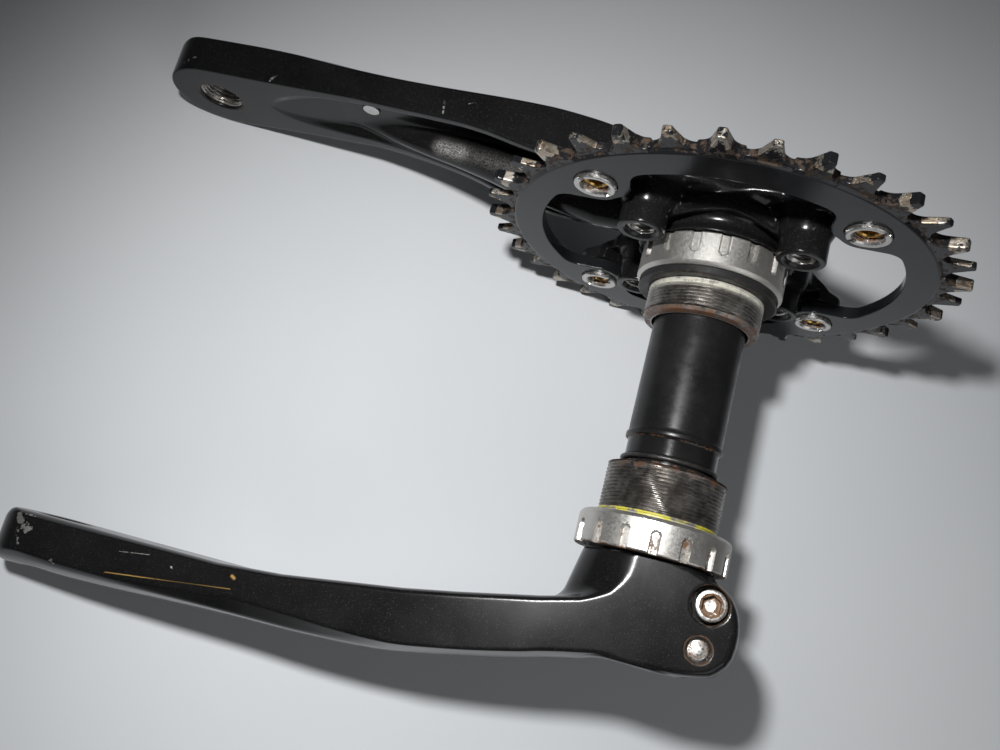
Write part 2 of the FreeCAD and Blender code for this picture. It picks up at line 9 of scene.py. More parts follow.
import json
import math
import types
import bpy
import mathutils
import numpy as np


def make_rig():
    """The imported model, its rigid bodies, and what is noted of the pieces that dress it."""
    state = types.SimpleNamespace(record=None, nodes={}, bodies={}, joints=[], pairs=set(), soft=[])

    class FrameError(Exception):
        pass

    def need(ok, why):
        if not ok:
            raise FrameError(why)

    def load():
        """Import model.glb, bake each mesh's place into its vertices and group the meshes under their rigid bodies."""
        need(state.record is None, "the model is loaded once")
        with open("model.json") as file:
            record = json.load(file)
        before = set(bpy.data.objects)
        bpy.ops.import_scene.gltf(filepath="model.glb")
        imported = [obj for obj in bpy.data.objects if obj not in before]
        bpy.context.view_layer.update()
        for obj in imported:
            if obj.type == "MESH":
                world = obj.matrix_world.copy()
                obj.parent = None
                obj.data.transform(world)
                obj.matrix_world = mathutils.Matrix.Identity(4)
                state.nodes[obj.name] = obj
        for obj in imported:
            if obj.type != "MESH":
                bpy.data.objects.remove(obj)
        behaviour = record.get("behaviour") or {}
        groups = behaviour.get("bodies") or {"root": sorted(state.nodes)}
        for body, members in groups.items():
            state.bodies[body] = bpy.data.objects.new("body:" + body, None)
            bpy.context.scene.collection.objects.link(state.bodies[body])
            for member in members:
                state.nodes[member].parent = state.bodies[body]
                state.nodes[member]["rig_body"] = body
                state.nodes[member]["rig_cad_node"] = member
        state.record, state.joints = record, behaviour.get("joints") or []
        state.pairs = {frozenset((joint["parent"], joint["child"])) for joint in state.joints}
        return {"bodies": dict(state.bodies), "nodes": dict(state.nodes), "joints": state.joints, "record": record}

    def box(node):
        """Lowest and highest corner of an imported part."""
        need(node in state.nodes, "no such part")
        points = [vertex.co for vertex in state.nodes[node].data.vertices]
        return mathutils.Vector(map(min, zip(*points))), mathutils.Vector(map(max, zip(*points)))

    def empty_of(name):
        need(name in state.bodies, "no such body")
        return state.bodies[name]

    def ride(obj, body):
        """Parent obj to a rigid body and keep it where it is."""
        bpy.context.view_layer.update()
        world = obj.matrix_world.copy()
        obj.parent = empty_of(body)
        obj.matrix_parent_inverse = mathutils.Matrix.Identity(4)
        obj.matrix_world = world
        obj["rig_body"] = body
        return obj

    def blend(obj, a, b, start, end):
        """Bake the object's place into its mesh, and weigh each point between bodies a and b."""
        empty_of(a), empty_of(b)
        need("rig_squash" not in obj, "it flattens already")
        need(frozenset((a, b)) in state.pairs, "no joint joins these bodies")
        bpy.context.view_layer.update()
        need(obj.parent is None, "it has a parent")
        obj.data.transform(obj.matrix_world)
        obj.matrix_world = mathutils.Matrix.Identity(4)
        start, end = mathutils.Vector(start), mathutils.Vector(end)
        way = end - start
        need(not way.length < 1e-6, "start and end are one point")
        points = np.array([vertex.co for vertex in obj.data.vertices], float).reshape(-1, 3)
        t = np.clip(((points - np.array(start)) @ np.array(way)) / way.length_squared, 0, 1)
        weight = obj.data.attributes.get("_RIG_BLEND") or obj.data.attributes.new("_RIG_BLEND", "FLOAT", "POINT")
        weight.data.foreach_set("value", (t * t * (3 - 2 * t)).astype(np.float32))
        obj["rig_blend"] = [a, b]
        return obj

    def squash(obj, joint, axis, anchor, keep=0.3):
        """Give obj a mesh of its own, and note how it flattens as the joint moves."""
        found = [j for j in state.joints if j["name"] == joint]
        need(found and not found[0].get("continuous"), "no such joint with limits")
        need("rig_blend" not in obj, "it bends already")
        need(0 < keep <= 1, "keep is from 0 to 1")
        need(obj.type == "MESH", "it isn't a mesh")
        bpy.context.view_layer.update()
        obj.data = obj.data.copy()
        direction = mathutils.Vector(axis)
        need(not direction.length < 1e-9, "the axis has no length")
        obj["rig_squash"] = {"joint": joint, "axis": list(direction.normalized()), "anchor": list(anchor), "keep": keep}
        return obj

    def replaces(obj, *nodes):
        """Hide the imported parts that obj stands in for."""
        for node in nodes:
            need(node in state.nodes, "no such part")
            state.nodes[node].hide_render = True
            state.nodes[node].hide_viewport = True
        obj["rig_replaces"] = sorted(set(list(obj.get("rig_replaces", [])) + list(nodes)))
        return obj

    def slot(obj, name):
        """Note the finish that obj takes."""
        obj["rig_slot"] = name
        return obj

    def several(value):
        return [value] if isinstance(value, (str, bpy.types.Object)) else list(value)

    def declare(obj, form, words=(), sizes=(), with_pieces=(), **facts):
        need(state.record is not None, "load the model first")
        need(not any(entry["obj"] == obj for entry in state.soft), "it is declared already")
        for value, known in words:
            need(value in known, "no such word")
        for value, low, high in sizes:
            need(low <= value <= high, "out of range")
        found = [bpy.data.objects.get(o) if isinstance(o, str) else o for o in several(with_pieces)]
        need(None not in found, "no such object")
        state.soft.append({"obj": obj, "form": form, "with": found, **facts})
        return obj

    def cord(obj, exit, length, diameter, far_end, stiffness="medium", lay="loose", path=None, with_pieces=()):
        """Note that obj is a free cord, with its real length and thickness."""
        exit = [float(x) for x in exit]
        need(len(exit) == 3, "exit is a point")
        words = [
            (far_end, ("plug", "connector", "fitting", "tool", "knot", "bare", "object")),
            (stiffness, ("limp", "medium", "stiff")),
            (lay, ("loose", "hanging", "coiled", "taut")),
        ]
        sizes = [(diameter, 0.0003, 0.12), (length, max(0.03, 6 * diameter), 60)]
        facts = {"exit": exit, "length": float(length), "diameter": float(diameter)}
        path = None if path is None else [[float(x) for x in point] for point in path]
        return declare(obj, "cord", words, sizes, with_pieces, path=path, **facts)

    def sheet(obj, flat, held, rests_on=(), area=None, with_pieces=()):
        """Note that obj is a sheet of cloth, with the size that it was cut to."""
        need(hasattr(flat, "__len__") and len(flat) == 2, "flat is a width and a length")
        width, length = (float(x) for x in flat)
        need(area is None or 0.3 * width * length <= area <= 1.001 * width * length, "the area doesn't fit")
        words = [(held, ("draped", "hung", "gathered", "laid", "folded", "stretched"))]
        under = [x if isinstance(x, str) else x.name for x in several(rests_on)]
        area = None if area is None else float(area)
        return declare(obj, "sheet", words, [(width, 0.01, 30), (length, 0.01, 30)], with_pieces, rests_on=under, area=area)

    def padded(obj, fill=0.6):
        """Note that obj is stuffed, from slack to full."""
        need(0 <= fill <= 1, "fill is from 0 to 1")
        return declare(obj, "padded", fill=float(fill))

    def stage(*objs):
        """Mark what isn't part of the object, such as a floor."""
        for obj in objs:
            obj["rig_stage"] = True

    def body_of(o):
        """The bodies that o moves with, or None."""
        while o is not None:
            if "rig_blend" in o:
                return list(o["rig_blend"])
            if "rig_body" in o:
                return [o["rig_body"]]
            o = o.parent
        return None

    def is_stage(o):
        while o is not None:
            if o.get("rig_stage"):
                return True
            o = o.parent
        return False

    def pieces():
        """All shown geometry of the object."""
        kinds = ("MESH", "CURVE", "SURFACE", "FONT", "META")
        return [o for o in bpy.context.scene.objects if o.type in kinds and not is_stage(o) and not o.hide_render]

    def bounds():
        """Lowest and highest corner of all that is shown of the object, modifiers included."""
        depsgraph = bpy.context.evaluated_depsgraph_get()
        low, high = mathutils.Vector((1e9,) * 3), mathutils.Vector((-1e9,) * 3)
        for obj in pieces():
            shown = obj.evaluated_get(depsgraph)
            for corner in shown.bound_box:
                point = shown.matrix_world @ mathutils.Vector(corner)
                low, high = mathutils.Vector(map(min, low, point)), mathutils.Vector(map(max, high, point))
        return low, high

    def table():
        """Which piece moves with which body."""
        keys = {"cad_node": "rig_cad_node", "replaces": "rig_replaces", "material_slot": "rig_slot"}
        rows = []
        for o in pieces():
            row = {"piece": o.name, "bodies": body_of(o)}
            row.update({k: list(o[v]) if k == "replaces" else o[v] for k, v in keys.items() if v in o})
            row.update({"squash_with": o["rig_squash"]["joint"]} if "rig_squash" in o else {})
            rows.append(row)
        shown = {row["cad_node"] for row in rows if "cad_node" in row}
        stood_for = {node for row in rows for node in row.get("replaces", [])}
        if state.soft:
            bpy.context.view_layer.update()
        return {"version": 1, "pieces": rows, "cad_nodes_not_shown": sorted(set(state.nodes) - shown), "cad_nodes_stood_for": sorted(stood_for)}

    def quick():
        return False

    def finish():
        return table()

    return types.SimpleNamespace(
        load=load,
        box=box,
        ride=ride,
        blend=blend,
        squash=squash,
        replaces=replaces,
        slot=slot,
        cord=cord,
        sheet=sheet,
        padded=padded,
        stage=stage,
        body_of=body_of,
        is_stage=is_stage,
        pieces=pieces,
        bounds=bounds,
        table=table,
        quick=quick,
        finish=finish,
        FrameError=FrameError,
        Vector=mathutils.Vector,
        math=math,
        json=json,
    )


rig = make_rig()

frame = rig.load()
CAD_LO, CAD_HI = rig.bounds()

import json
import math

import bmesh
import bpy
import numpy as np
import openvdb as vdb
from mathutils import Matrix, Vector

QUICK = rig.quick() if hasattr(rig, "quick") else False

# ------------------------------------------------------------------ driving dimensions
MOUNTS = {mount["name"]: mount for mount in frame["record"]["mounts"]}
pedal_x, _, pedal_z = MOUNTS["right_pedal_thread"]["pos_m"]
DROOP = math.atan2(-pedal_z, pedal_x)
CRANK = math.hypot(pedal_x, pedal_z) * 1000.0      # spindle axis to pedal axis
COS, SIN = math.cos(DROOP), math.sin(DROOP)

RING_Y0, RING_Y1 = (corner.y * 1000.0 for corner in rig.box("chainring"))
RING_MID = 0.5 * (RING_Y0 + RING_Y1)
BOLT_R, BOSS_R = 52.0, 32.0       # distance of the ring bolts and the inner bosses from the axis
DIAGONALS = [math.radians(angle) for angle in (45, 135, 225, 315)]
SPINDLE_BORE, PEDAL_BORE = 12.03, 7.16      # radii of the holes through both arms
ARM_END = 175.0                   # x of the centre of the arms' round ends
CLAMP_BOLTS = [(-18.4, 53.8, 1), (-17.2, 65.8, -1)]     # x, y, side of the head along Z
HEX_FLATS = 5.0                   # across the flats of every hex socket


def turn(vectors):
    """From the crank's axes to the shared frame, without scaling."""
    vectors = np.asarray(vectors, np.float64)
    x, y, z = vectors[:, 0], vectors[:, 1], vectors[:, 2]
    return np.stack([x * COS + z * SIN, y, -x * SIN + z * COS], -1)


def to_frame(points):
    return turn(points) * 0.001


def about_y(points, angle):
    """Turn points about the spindle axis, positive from +X towards +Z."""
    cos, sin = math.cos(angle), math.sin(angle)
    x, y, z = points[:, 0], points[:, 1], points[:, 2]
    return np.stack([x * cos - z * sin, y, x * sin + z * cos], -1)


def polar(points):
    """Radius and angle about the spindle axis."""
    return np.hypot(points[:, 0], points[:, 2]), np.arctan2(points[:, 2], points[:, 0])


def near(distance, width):
    """1 at no distance, falling to 0 at width."""
    return np.clip(1 - distance / width, 0, 1)


# ------------------------------------------------------------------ meshes
def raw_mesh(name, verts, faces):
    """faces: an (n, 3) or (n, 4) index array, or a list of both."""
    mesh = bpy.data.meshes.new(name)
    blocks = faces if isinstance(faces, list) else [faces]
    mesh.vertices.add(len(verts))
    mesh.vertices.foreach_set("co", np.asarray(verts, np.float32).ravel())
    loops = np.concatenate([np.asarray(block, np.int32).ravel() for block in blocks])
    sizes = np.concatenate([np.full(len(block), block.shape[1], np.int32) for block in blocks])
    starts = np.concatenate([[0], np.cumsum(sizes)[:-1]]).astype(np.int32)
    mesh.loops.add(len(loops))
    mesh.loops.foreach_set("vertex_index", loops)
    mesh.polygons.add(len(sizes))
    mesh.polygons.foreach_set("loop_start", starts)
    mesh.update(calc_edges=True)
    mesh.validate()
    return mesh


def coords(mesh):
    flat = np.zeros(len(mesh.vertices) * 3, np.float32)
    mesh.vertices.foreach_get("co", flat)
    return flat.reshape(-1, 3).astype(np.float64)


def outward(mesh):
    """Flip a closed mesh whose faces point inwards."""
    mesh.calc_loop_triangles()
    index = np.zeros(len(mesh.loop_triangles) * 3, np.int32)
    mesh.loop_triangles.foreach_get("vertices", index)
    corners = coords(mesh)[index.reshape(-1, 3)]
    normals = np.cross(corners[:, 1], corners[:, 2])
    if np.einsum("ij,ij->i", corners[:, 0], normals).sum() < 0:
        mesh.flip_normals()


def place(name, mesh, body, material, slot, replaces=(), angle=None, attrs=None):
    """Turn a mesh in the crank's axes into a piece of the object.

    attrs maps attribute names to numbers or to functions of the points.
    """
    points = coords(mesh)
    for key, value in (attrs or {}).items():
        values = value(points) if callable(value) else np.full(len(points), value)
        attribute = mesh.attributes.new(key, "FLOAT", "POINT")
        attribute.data.foreach_set("value", np.asarray(values, np.float32))
    mesh.vertices.foreach_set("co", to_frame(points).astype(np.float32).ravel())
    mesh.update()
    outward(mesh)
    mesh.polygons.foreach_set("use_smooth", np.ones(len(mesh.polygons), bool))
    if angle is not None:
        mesh.set_sharp_from_angle(angle=math.radians(angle))
    piece = bpy.data.objects.new(name.replace(" ", "_"), mesh)
    bpy.context.scene.collection.objects.link(piece)
    mesh.materials.append(material)
    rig.ride(piece, body)
    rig.slot(piece, slot)
    if replaces:
        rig.replaces(piece, *replaces)
    return piece


def join_parts(parts):
    """[(verts, faces)] as one (verts, [faces])."""
    all_verts, all_faces, offset = [], [], 0
    for verts, faces in parts:
        all_verts.append(verts)
        all_faces += [block + offset for block in (faces if isinstance(faces, list) else [faces])]
        offset += len(verts)
    return np.concatenate(all_verts), all_faces


def at_diagonals(part, radius):
    """Four copies of a piece made about the Y axis, at that radius on the diagonals."""
    verts, faces = part
    moved = verts + np.array([radius, 0.0, 0.0])
    return join_parts([(about_y(moved, angle), faces) for angle in DIAGONALS])


# ------------------------------------------------------------------ distance fields
def join(first, second, blend):
    """Smooth union of two distance fields."""
    mix = np.clip(0.5 + 0.5 * (second - first) / blend, 0, 1)
    return second * (1 - mix) + first * mix - blend * mix * (1 - mix)


def meet(first, second, blend):
    """Smooth intersection of two distance fields."""
    mix = np.clip(0.5 + 0.5 * (first - second) / blend, 0, 1)
    return second * (1 - mix) + first * mix + blend * mix * (1 - mix)


def carve(body, tool, blend):
    return meet(body, -tool, blend)


def dist(x, y):
    return np.sqrt(x ** 2 + y ** 2)


def ease(start, end, x):
    """Smooth step from 0 at start to 1 at end; start may be the larger."""
    part = np.clip((x - start) / (end - start), 0, 1)
    return part * part * (3 - 2 * part)


def curve(*points):
    """Shape-preserving cubic through (x, value) points, as a function of an array."""
    xs, ys = np.array(points, float).T
    rise = np.diff(ys) / np.diff(xs)
    slope = np.zeros(len(xs))
    slope[0], slope[-1] = rise[0], rise[-1]
    for i in range(1, len(xs) - 1):
        before, after = rise[i - 1], rise[i]
        slope[i] = 0.0 if before * after <= 0 else 2 * before * after / (before + after)

    def value(x):
        x = np.clip(np.asarray(x, float), xs[0], xs[-1])
        i = np.clip(np.searchsorted(xs, x, side="right") - 1, 0, len(xs) - 2)
        span = xs[i + 1] - xs[i]
        t = (x - xs[i]) / span
        return ((2 * t ** 3 - 3 * t ** 2 + 1) * ys[i]
                + (t ** 3 - 2 * t ** 2 + t) * span * slope[i]
                + (3 * t ** 2 - 2 * t ** 3) * ys[i + 1] + (t ** 3 - t ** 2) * span * slope[i + 1])

    return value


def polygon_distance(x, y, points):
    """Signed distance to a closed polygon, negative inside."""
    points = np.array(points, float)
    best = np.full(x.shape, 1e9)
    inside = np.zeros(x.shape, bool)
    for i in range(len(points)):
        start, end = points[i - 1], points[i]
        edge_x, edge_y = end[0] - start[0], end[1] - start[1]
        from_x, from_y = x - start[0], y - start[1]
        part = np.clip((from_x * edge_x + from_y * edge_y)
                       / (edge_x * edge_x + edge_y * edge_y), 0, 1)
        best = np.minimum(best, (from_x - edge_x * part) ** 2 + (from_y - edge_y * part) ** 2)
        if edge_y != 0:
            crosses = (start[1] > y) != (end[1] > y)
            inside ^= crosses & (x < start[0] + (y - start[1]) * edge_x / edge_y)
    best = np.sqrt(best)
    return np.where(inside, -best, best)


def biggest(points, quads):
    """Keep the largest connected shell."""
    label = np.arange(len(points))
    while True:
        lowest = label[quads].min(1)
        new = label.copy()
        for k in range(4):
            np.minimum.at(new, quads[:, k], lowest)
        new = new[new]
        new = new[new]
        if np.array_equal(new, label):
            break
        label = new
    shells, count = np.unique(label[quads[:, 0]], return_counts=True)
    keep = quads[label[quads[:, 0]] == shells[count.argmax()]]
    used = np.unique(keep)
    back = np.full(len(points), -1)
    back[used] = np.arange(len(used))
    return points[used], back[keep]


def decimated(mesh, name, ratio):
    carrier = bpy.data.objects.new(name + "_tmp", mesh)
    bpy.context.scene.collection.objects.link(carrier)
    carrier.modifiers.new("decimate", "DECIMATE").ratio = ratio
    graph = bpy.context.evaluated_depsgraph_get()
    thinned = bpy.data.meshes.new_from_object(carrier.evaluated_get(graph))
    bpy.data.objects.remove(carrier)
    bpy.data.meshes.remove(mesh)
    return thinned


def field_mesh(name, field, low, high, voxel, target):
    """Mesh of field = 0 in the box, at most target triangles, and normals from the field."""
    low, high = np.array(low, float) - 3 * voxel, np.array(high, float) + 3 * voxel
    count = np.ceil((high - low) / voxel).astype(int) + 1
    xs, ys, zs = (low[k] + voxel * np.arange(count[k]) for k in range(3))
    grid = np.empty(tuple(count), np.float32)
    Y, Z = ys[None, :, None].astype(np.float32), zs[None, None, :].astype(np.float32)
    for i in range(0, count[0], 24):
        X = xs[i:i + 24, None, None].astype(np.float32)
        grid[i:i + 24] = np.clip(field(X, Y, Z), -3 * voxel, 3 * voxel)
    volume = vdb.FloatGrid(3 * voxel)
    volume.copyFromArray(grid)
    points, quads = volume.convertToQuads(0.0)
    points = np.asarray(points, np.float64) * voxel + low
    points, quads = biggest(points, np.asarray(quads, np.int64))
    mesh = raw_mesh(name, points, quads)
    triangles = 2 * len(quads)
    if triangles > target:
        mesh = decimated(mesh, name, target / triangles)
    verts = coords(mesh)

    def sample(places):
        cell = (places - low) / voxel
        base = np.clip(np.floor(cell).astype(int), 0, count - 2)
        part = cell - base
        total = 0
        for corner in np.ndindex(2, 2, 2):
            share = np.where(corner, part, 1 - part)
            weight = share[:, 0] * share[:, 1] * share[:, 2]
            total = total + weight * grid[tuple((base + np.array(corner)).T)]
        return total

    reach = 0.6 * voxel
    normals = np.stack([sample(verts + axis * reach) - sample(verts - axis * reach)
                        for axis in np.eye(3)], -1)
    normals /= np.maximum(np.linalg.norm(normals, axis=1, keepdims=True), 1e-9)
    return mesh, normals


def place_field(name, field, low, high, voxel, material, slot, replaces, target, attrs=None):
    mesh, normals = field_mesh(name, field, low, high, voxel, target)
    piece = place(name, mesh, "crank", material, slot, replaces, attrs=attrs)
    piece.data.normals_split_custom_set_from_vertices(turn(normals).astype(np.float32))


# ------------------------------------------------------------------ turned pieces
# A path is a list of (radius, y) or (radius, y, tag); a tag belongs to the segment that
# starts at its point and is "plain" when left out. steps gives the longest step for each tag.
# shape(radius, y, angle, tag) may bend the surface into threads or slots.
def dense(path, steps, closed=True):
    path = [(*point, "plain")[:3] for point in path]
    rows = []
    for (r0, y0, tag), (r1, y1, _) in zip(path, path[1:] + (path[:1] if closed else [])):
        count = max(1, int(math.ceil(math.hypot(r1 - r0, y1 - y0) / steps.get(tag, 9.0))))
        rows += [(r0 + (r1 - r0) * j / count, y0 + (y1 - y0) * j / count, tag)
                 for j in range(count)]
    if not closed:
        rows.append(path[-1])
    return [np.array(column) for column in zip(*rows)]


def spin(radius, y, tag, segs, shape, x=0.0):
    angle = np.linspace(0, 2 * np.pi, segs, endpoint=False)
    radius, y, tag = (np.repeat(row[None, :], segs, 0) for row in (radius, y, tag))
    angle = np.repeat(angle[:, None], radius.shape[1], 1)
    if shape:
        radius, y = shape(radius, y, angle, tag)
    return np.stack([x + radius * np.cos(angle), y, radius * np.sin(angle)], -1).reshape(-1, 3)


def turned(path, segs, steps={}, shape=None, x=0.0):
    """Ring-shaped solid from a closed path, about a line parallel to Y."""
    radius, y, tag = dense(path, steps)
    rows = len(radius)
    i, j = np.arange(segs)[:, None], np.arange(rows)[None, :]
    i2, j2 = (i + 1) % segs, (j + 1) % rows
    quads = np.stack([i * rows + j, i2 * rows + j, i2 * rows + j2, i * rows + j2], -1)
    return spin(radius, y, tag, segs, shape, x), quads.reshape(-1, 4)


def turned_solid(path, segs, steps, shape):
    """Solid whose open path starts and ends on the axis."""
    radius, y, tag = (row[1:-1] for row in dense(path, steps, closed=False))
    verts = spin(radius, y, tag, segs, shape)
    rows = len(radius)
    i, j = np.arange(segs)[:, None], np.arange(rows - 1)[None, :]
    i2 = (i + 1) % segs
    quads = np.stack([i * rows + j, i2 * rows + j, i2 * rows + j + 1, i * rows + j + 1], -1)
    first, last = len(verts), len(verts) + 1
    verts = np.vstack([verts, [[0, path[0][1], 0], [0, path[-1][1], 0]]])
    k = np.arange(segs)
    k2 = (k + 1) % segs
    start_fan = np.stack([np.full(segs, first), k2 * rows, k * rows], -1)
    end_fan = np.stack([np.full(segs, last), k * rows + rows - 1, k2 * rows + rows - 1], -1)
    return verts, [quads.reshape(-1, 4), np.concatenate([start_fan, end_fan])]


def ridge(y, angle, pitch, flat=0.12, hand=1):
    """Thread profile, 0 at the crest and 1 at the root."""
    phase = (y / pitch + hand * angle / (2 * np.pi)) % 1.0
    wave = 1 - np.abs(2 * phase - 1)
    return np.clip((wave - flat) / (1 - 2 * flat), 0, 1)


def tapped(root, depth, pitch):
    """Shape that cuts an inside thread where the tag is "thread"."""
    def shape(radius, y, angle, tag):
        cut = root - depth * (1 - ridge(y, angle, pitch))
        return np.where(tag == "thread", cut, radius), y
    return shape


def hex_socket(radius, y, angle, tag):
    fold_angle = (angle + math.pi / 6) % (math.pi / 3) - math.pi / 6
    return np.where(tag == "hex", HEX_FLATS / 2 / np.cos(fold_angle), radius), y


# ------------------------------------------------------------------ material helpers
def segment_group():
    """Node group: distance from P to the segment from A along E, where K is 1 / |E| squared."""
    tree = bpy.data.node_groups.new("distance to segment", "ShaderNodeTree")
    for socket in "PAE":
        tree.interface.new_socket(socket, in_out="INPUT", socket_type="NodeSocketVector")
    tree.interface.new_socket("K", in_out="INPUT", socket_type="NodeSocketFloat")
    tree.interface.new_socket("D", in_out="OUTPUT", socket_type="NodeSocketFloat")
    source, result = tree.nodes.new("NodeGroupInput"), tree.nodes.new("NodeGroupOutput")

    def vector(operation, out, first, second=None, port=1):
        node = tree.nodes.new("ShaderNodeVectorMath")
        node.operation = operation
        tree.links.new(first, node.inputs[0])
        if second is not None:
            tree.links.new(second, node.inputs[port])
        return node.outputs[out]

    offset = vector("SUBTRACT", "Vector", source.outputs["P"], source.outputs["A"])
    dot = vector("DOT_PRODUCT", "Value", offset, source.outputs["E"])
    part = tree.nodes.new("ShaderNodeMath")
    part.operation, part.use_clamp = "MULTIPLY", True
    tree.links.new(dot, part.inputs[0])
    tree.links.new(source.outputs["K"], part.inputs[1])
    foot = vector("SCALE", "Vector", source.outputs["E"], part.outputs[0], port=3)
    gap = vector("SUBTRACT", "Vector", offset, foot)
    tree.links.new(vector("LENGTH", "Value", gap), result.inputs["D"])
    return tree


SEGMENT = segment_group()


class Mat:
    """Node tree helper. Values may be numbers, colours or sockets; lengths are millimetres."""

    def __init__(self, name):
        self.material = bpy.data.materials.new(name)
        self.material.use_nodes = True
        self.tree = self.material.node_tree
        self.shader = next(n for n in self.tree.nodes if n.type == "BSDF_PRINCIPLED")
        self.coord = self.new("ShaderNodeTexCoord").outputs["Object"]

    def new(self, kind):
        return self.tree.nodes.new(kind)

    def put(self, socket, value):
        if hasattr(value, "links"):
            self.tree.links.new(value, socket)
        elif isinstance(value, (tuple, list)) and len(value) == 3 and socket.type == "RGBA":
            socket.default_value = (*value, 1.0)
        else:
            socket.default_value = value

    def finish(self, color, rough, normal, metal=None, spec=None):
        inputs = {"Base Color": color, "Metallic": metal, "Roughness": rough,
                  "Normal": normal, "Specular IOR Level": spec}
        for name, value in inputs.items():
            if value is not None:
                self.put(self.shader.inputs[name], value)
        return self.material

    def stretch(self, scale):
        node = self.new("ShaderNodeMapping")
        node.inputs["Scale"].default_value = scale
        self.put(node.inputs["Vector"], self.coord)
        return node.outputs["Vector"]

    def noise(self, per_mm, detail=3.0, rough=0.55, vector=None):
        node = self.new("ShaderNodeTexNoise")
        node.inputs["Scale"].default_value = per_mm * 1000.0
        node.inputs["Detail"].default_value = detail
        node.inputs["Roughness"].default_value = rough
        self.put(node.inputs["Vector"], vector if vector is not None else self.coord)
        return node.outputs["Fac"]

    def cells(self, per_mm):
        node = self.new("ShaderNodeTexVoronoi")
        node.inputs["Scale"].default_value = per_mm * 1000.0
        self.put(node.inputs["Vector"], self.coord)
        return node.outputs["Distance"]

    def step(self, value, low=0.3, high=0.7, at_low=0.0, at_high=1.0):
        """Smooth step between two levels of value."""
        node = self.new("ShaderNodeMapRange")
        node.interpolation_type = "SMOOTHSTEP"
        names = ("Value", "From Min", "From Max", "To Min", "To Max")
        for name, setting in zip(names, (value, low, high, at_low, at_high)):
            self.put(node.inputs[name], setting)
        return node.outputs["Result"]

    def patch(self, per_mm, detail=3.0, rough=0.55, vector=None, **levels):
        """Stepped noise."""
        return self.step(self.noise(per_mm, detail, rough, vector), **levels)

    def ragged(self, mask, per_mm, detail, rough, spread, low, high):
        """Mask whose edge is broken up by noise of the given spread."""
        ripple = self.math("SUBTRACT", self.noise(per_mm, detail, rough), 0.5)
        return self.step(self.add(mask, self.mul(ripple, spread)), low, high)

    def math(self, operation, first, second=0.0, clamp=False):
        node = self.new("ShaderNodeMath")
        node.operation = operation
        node.use_clamp = clamp
        self.put(node.inputs[0], first)
        self.put(node.inputs[1], second)
        return node.outputs[0]

    def chain(self, operation, values):
        total = values[0]
        for value in values[1:]:
            total = self.math(operation, total, value)
        return total

    def mul(self, *values):
        return self.chain("MULTIPLY", values)

    def add(self, *values):
        return self.chain("ADD", values)

    def most(self, *values):
        return self.chain("MAXIMUM", values)

    def bare_metal(self, cover, amount):
        """Metallic value: amount where there is no cover."""
        return self.mul(self.math("SUBTRACT", 1.0, cover, clamp=True), amount)

    def mix(self, factor, first, second):
        node = self.new("ShaderNodeMix")
        node.data_type = "RGBA"
        self.put(node.inputs["Factor"], factor)
        self.put(node.inputs[6], first)
        self.put(node.inputs[7], second)
        return node.outputs[2]

    def lerp(self, factor, first, second):
        node = self.new("ShaderNodeMix")
        node.data_type = "FLOAT"
        self.put(node.inputs["Factor"], factor)
        self.put(node.inputs[2], first)
        self.put(node.inputs[3], second)
        return node.outputs[0]

    def attr(self, name):
        node = self.new("ShaderNodeAttribute")
        node.attribute_name = name
        return node.outputs["Fac"]

    def bump(self, height, depth, strength):
        node = self.new("ShaderNodeBump")
        node.inputs["Distance"].default_value = depth * 0.001
        node.inputs["Strength"].default_value = strength
        self.put(node.inputs["Height"], height)
        return node.outputs["Normal"]

    def away(self, points):
        """Distance from a polyline given in the crank's axes."""
        points = to_frame(points)
        distances = []
        for start, end in zip(points[:-1], points[1:]):
            node = self.new("ShaderNodeGroup")
            node.node_tree = SEGMENT
            edge = end - start
            self.put(node.inputs["P"], self.coord)
            node.inputs["A"].default_value = tuple(start)
            node.inputs["E"].default_value = tuple(edge)
            node.inputs["K"].default_value = 1.0 / float(edge @ edge)
            distances.append(node.outputs["D"])
        return self.mul(self.chain("MINIMUM", distances), 1000.0)

    def mark(self, points, width, strength=1.0, tube=None):
        """Mask around a polyline, or around a tube of that radius, fading to 0 at width."""
        gap = self.away(points)
        if tube is not None:
            gap = self.math("ABSOLUTE", self.math("SUBTRACT", gap, tube))
        return self.step(gap, width, 0.0, 0.0, strength)

    def marks(self, rows):
        return [self.mark(*row) for row in rows]


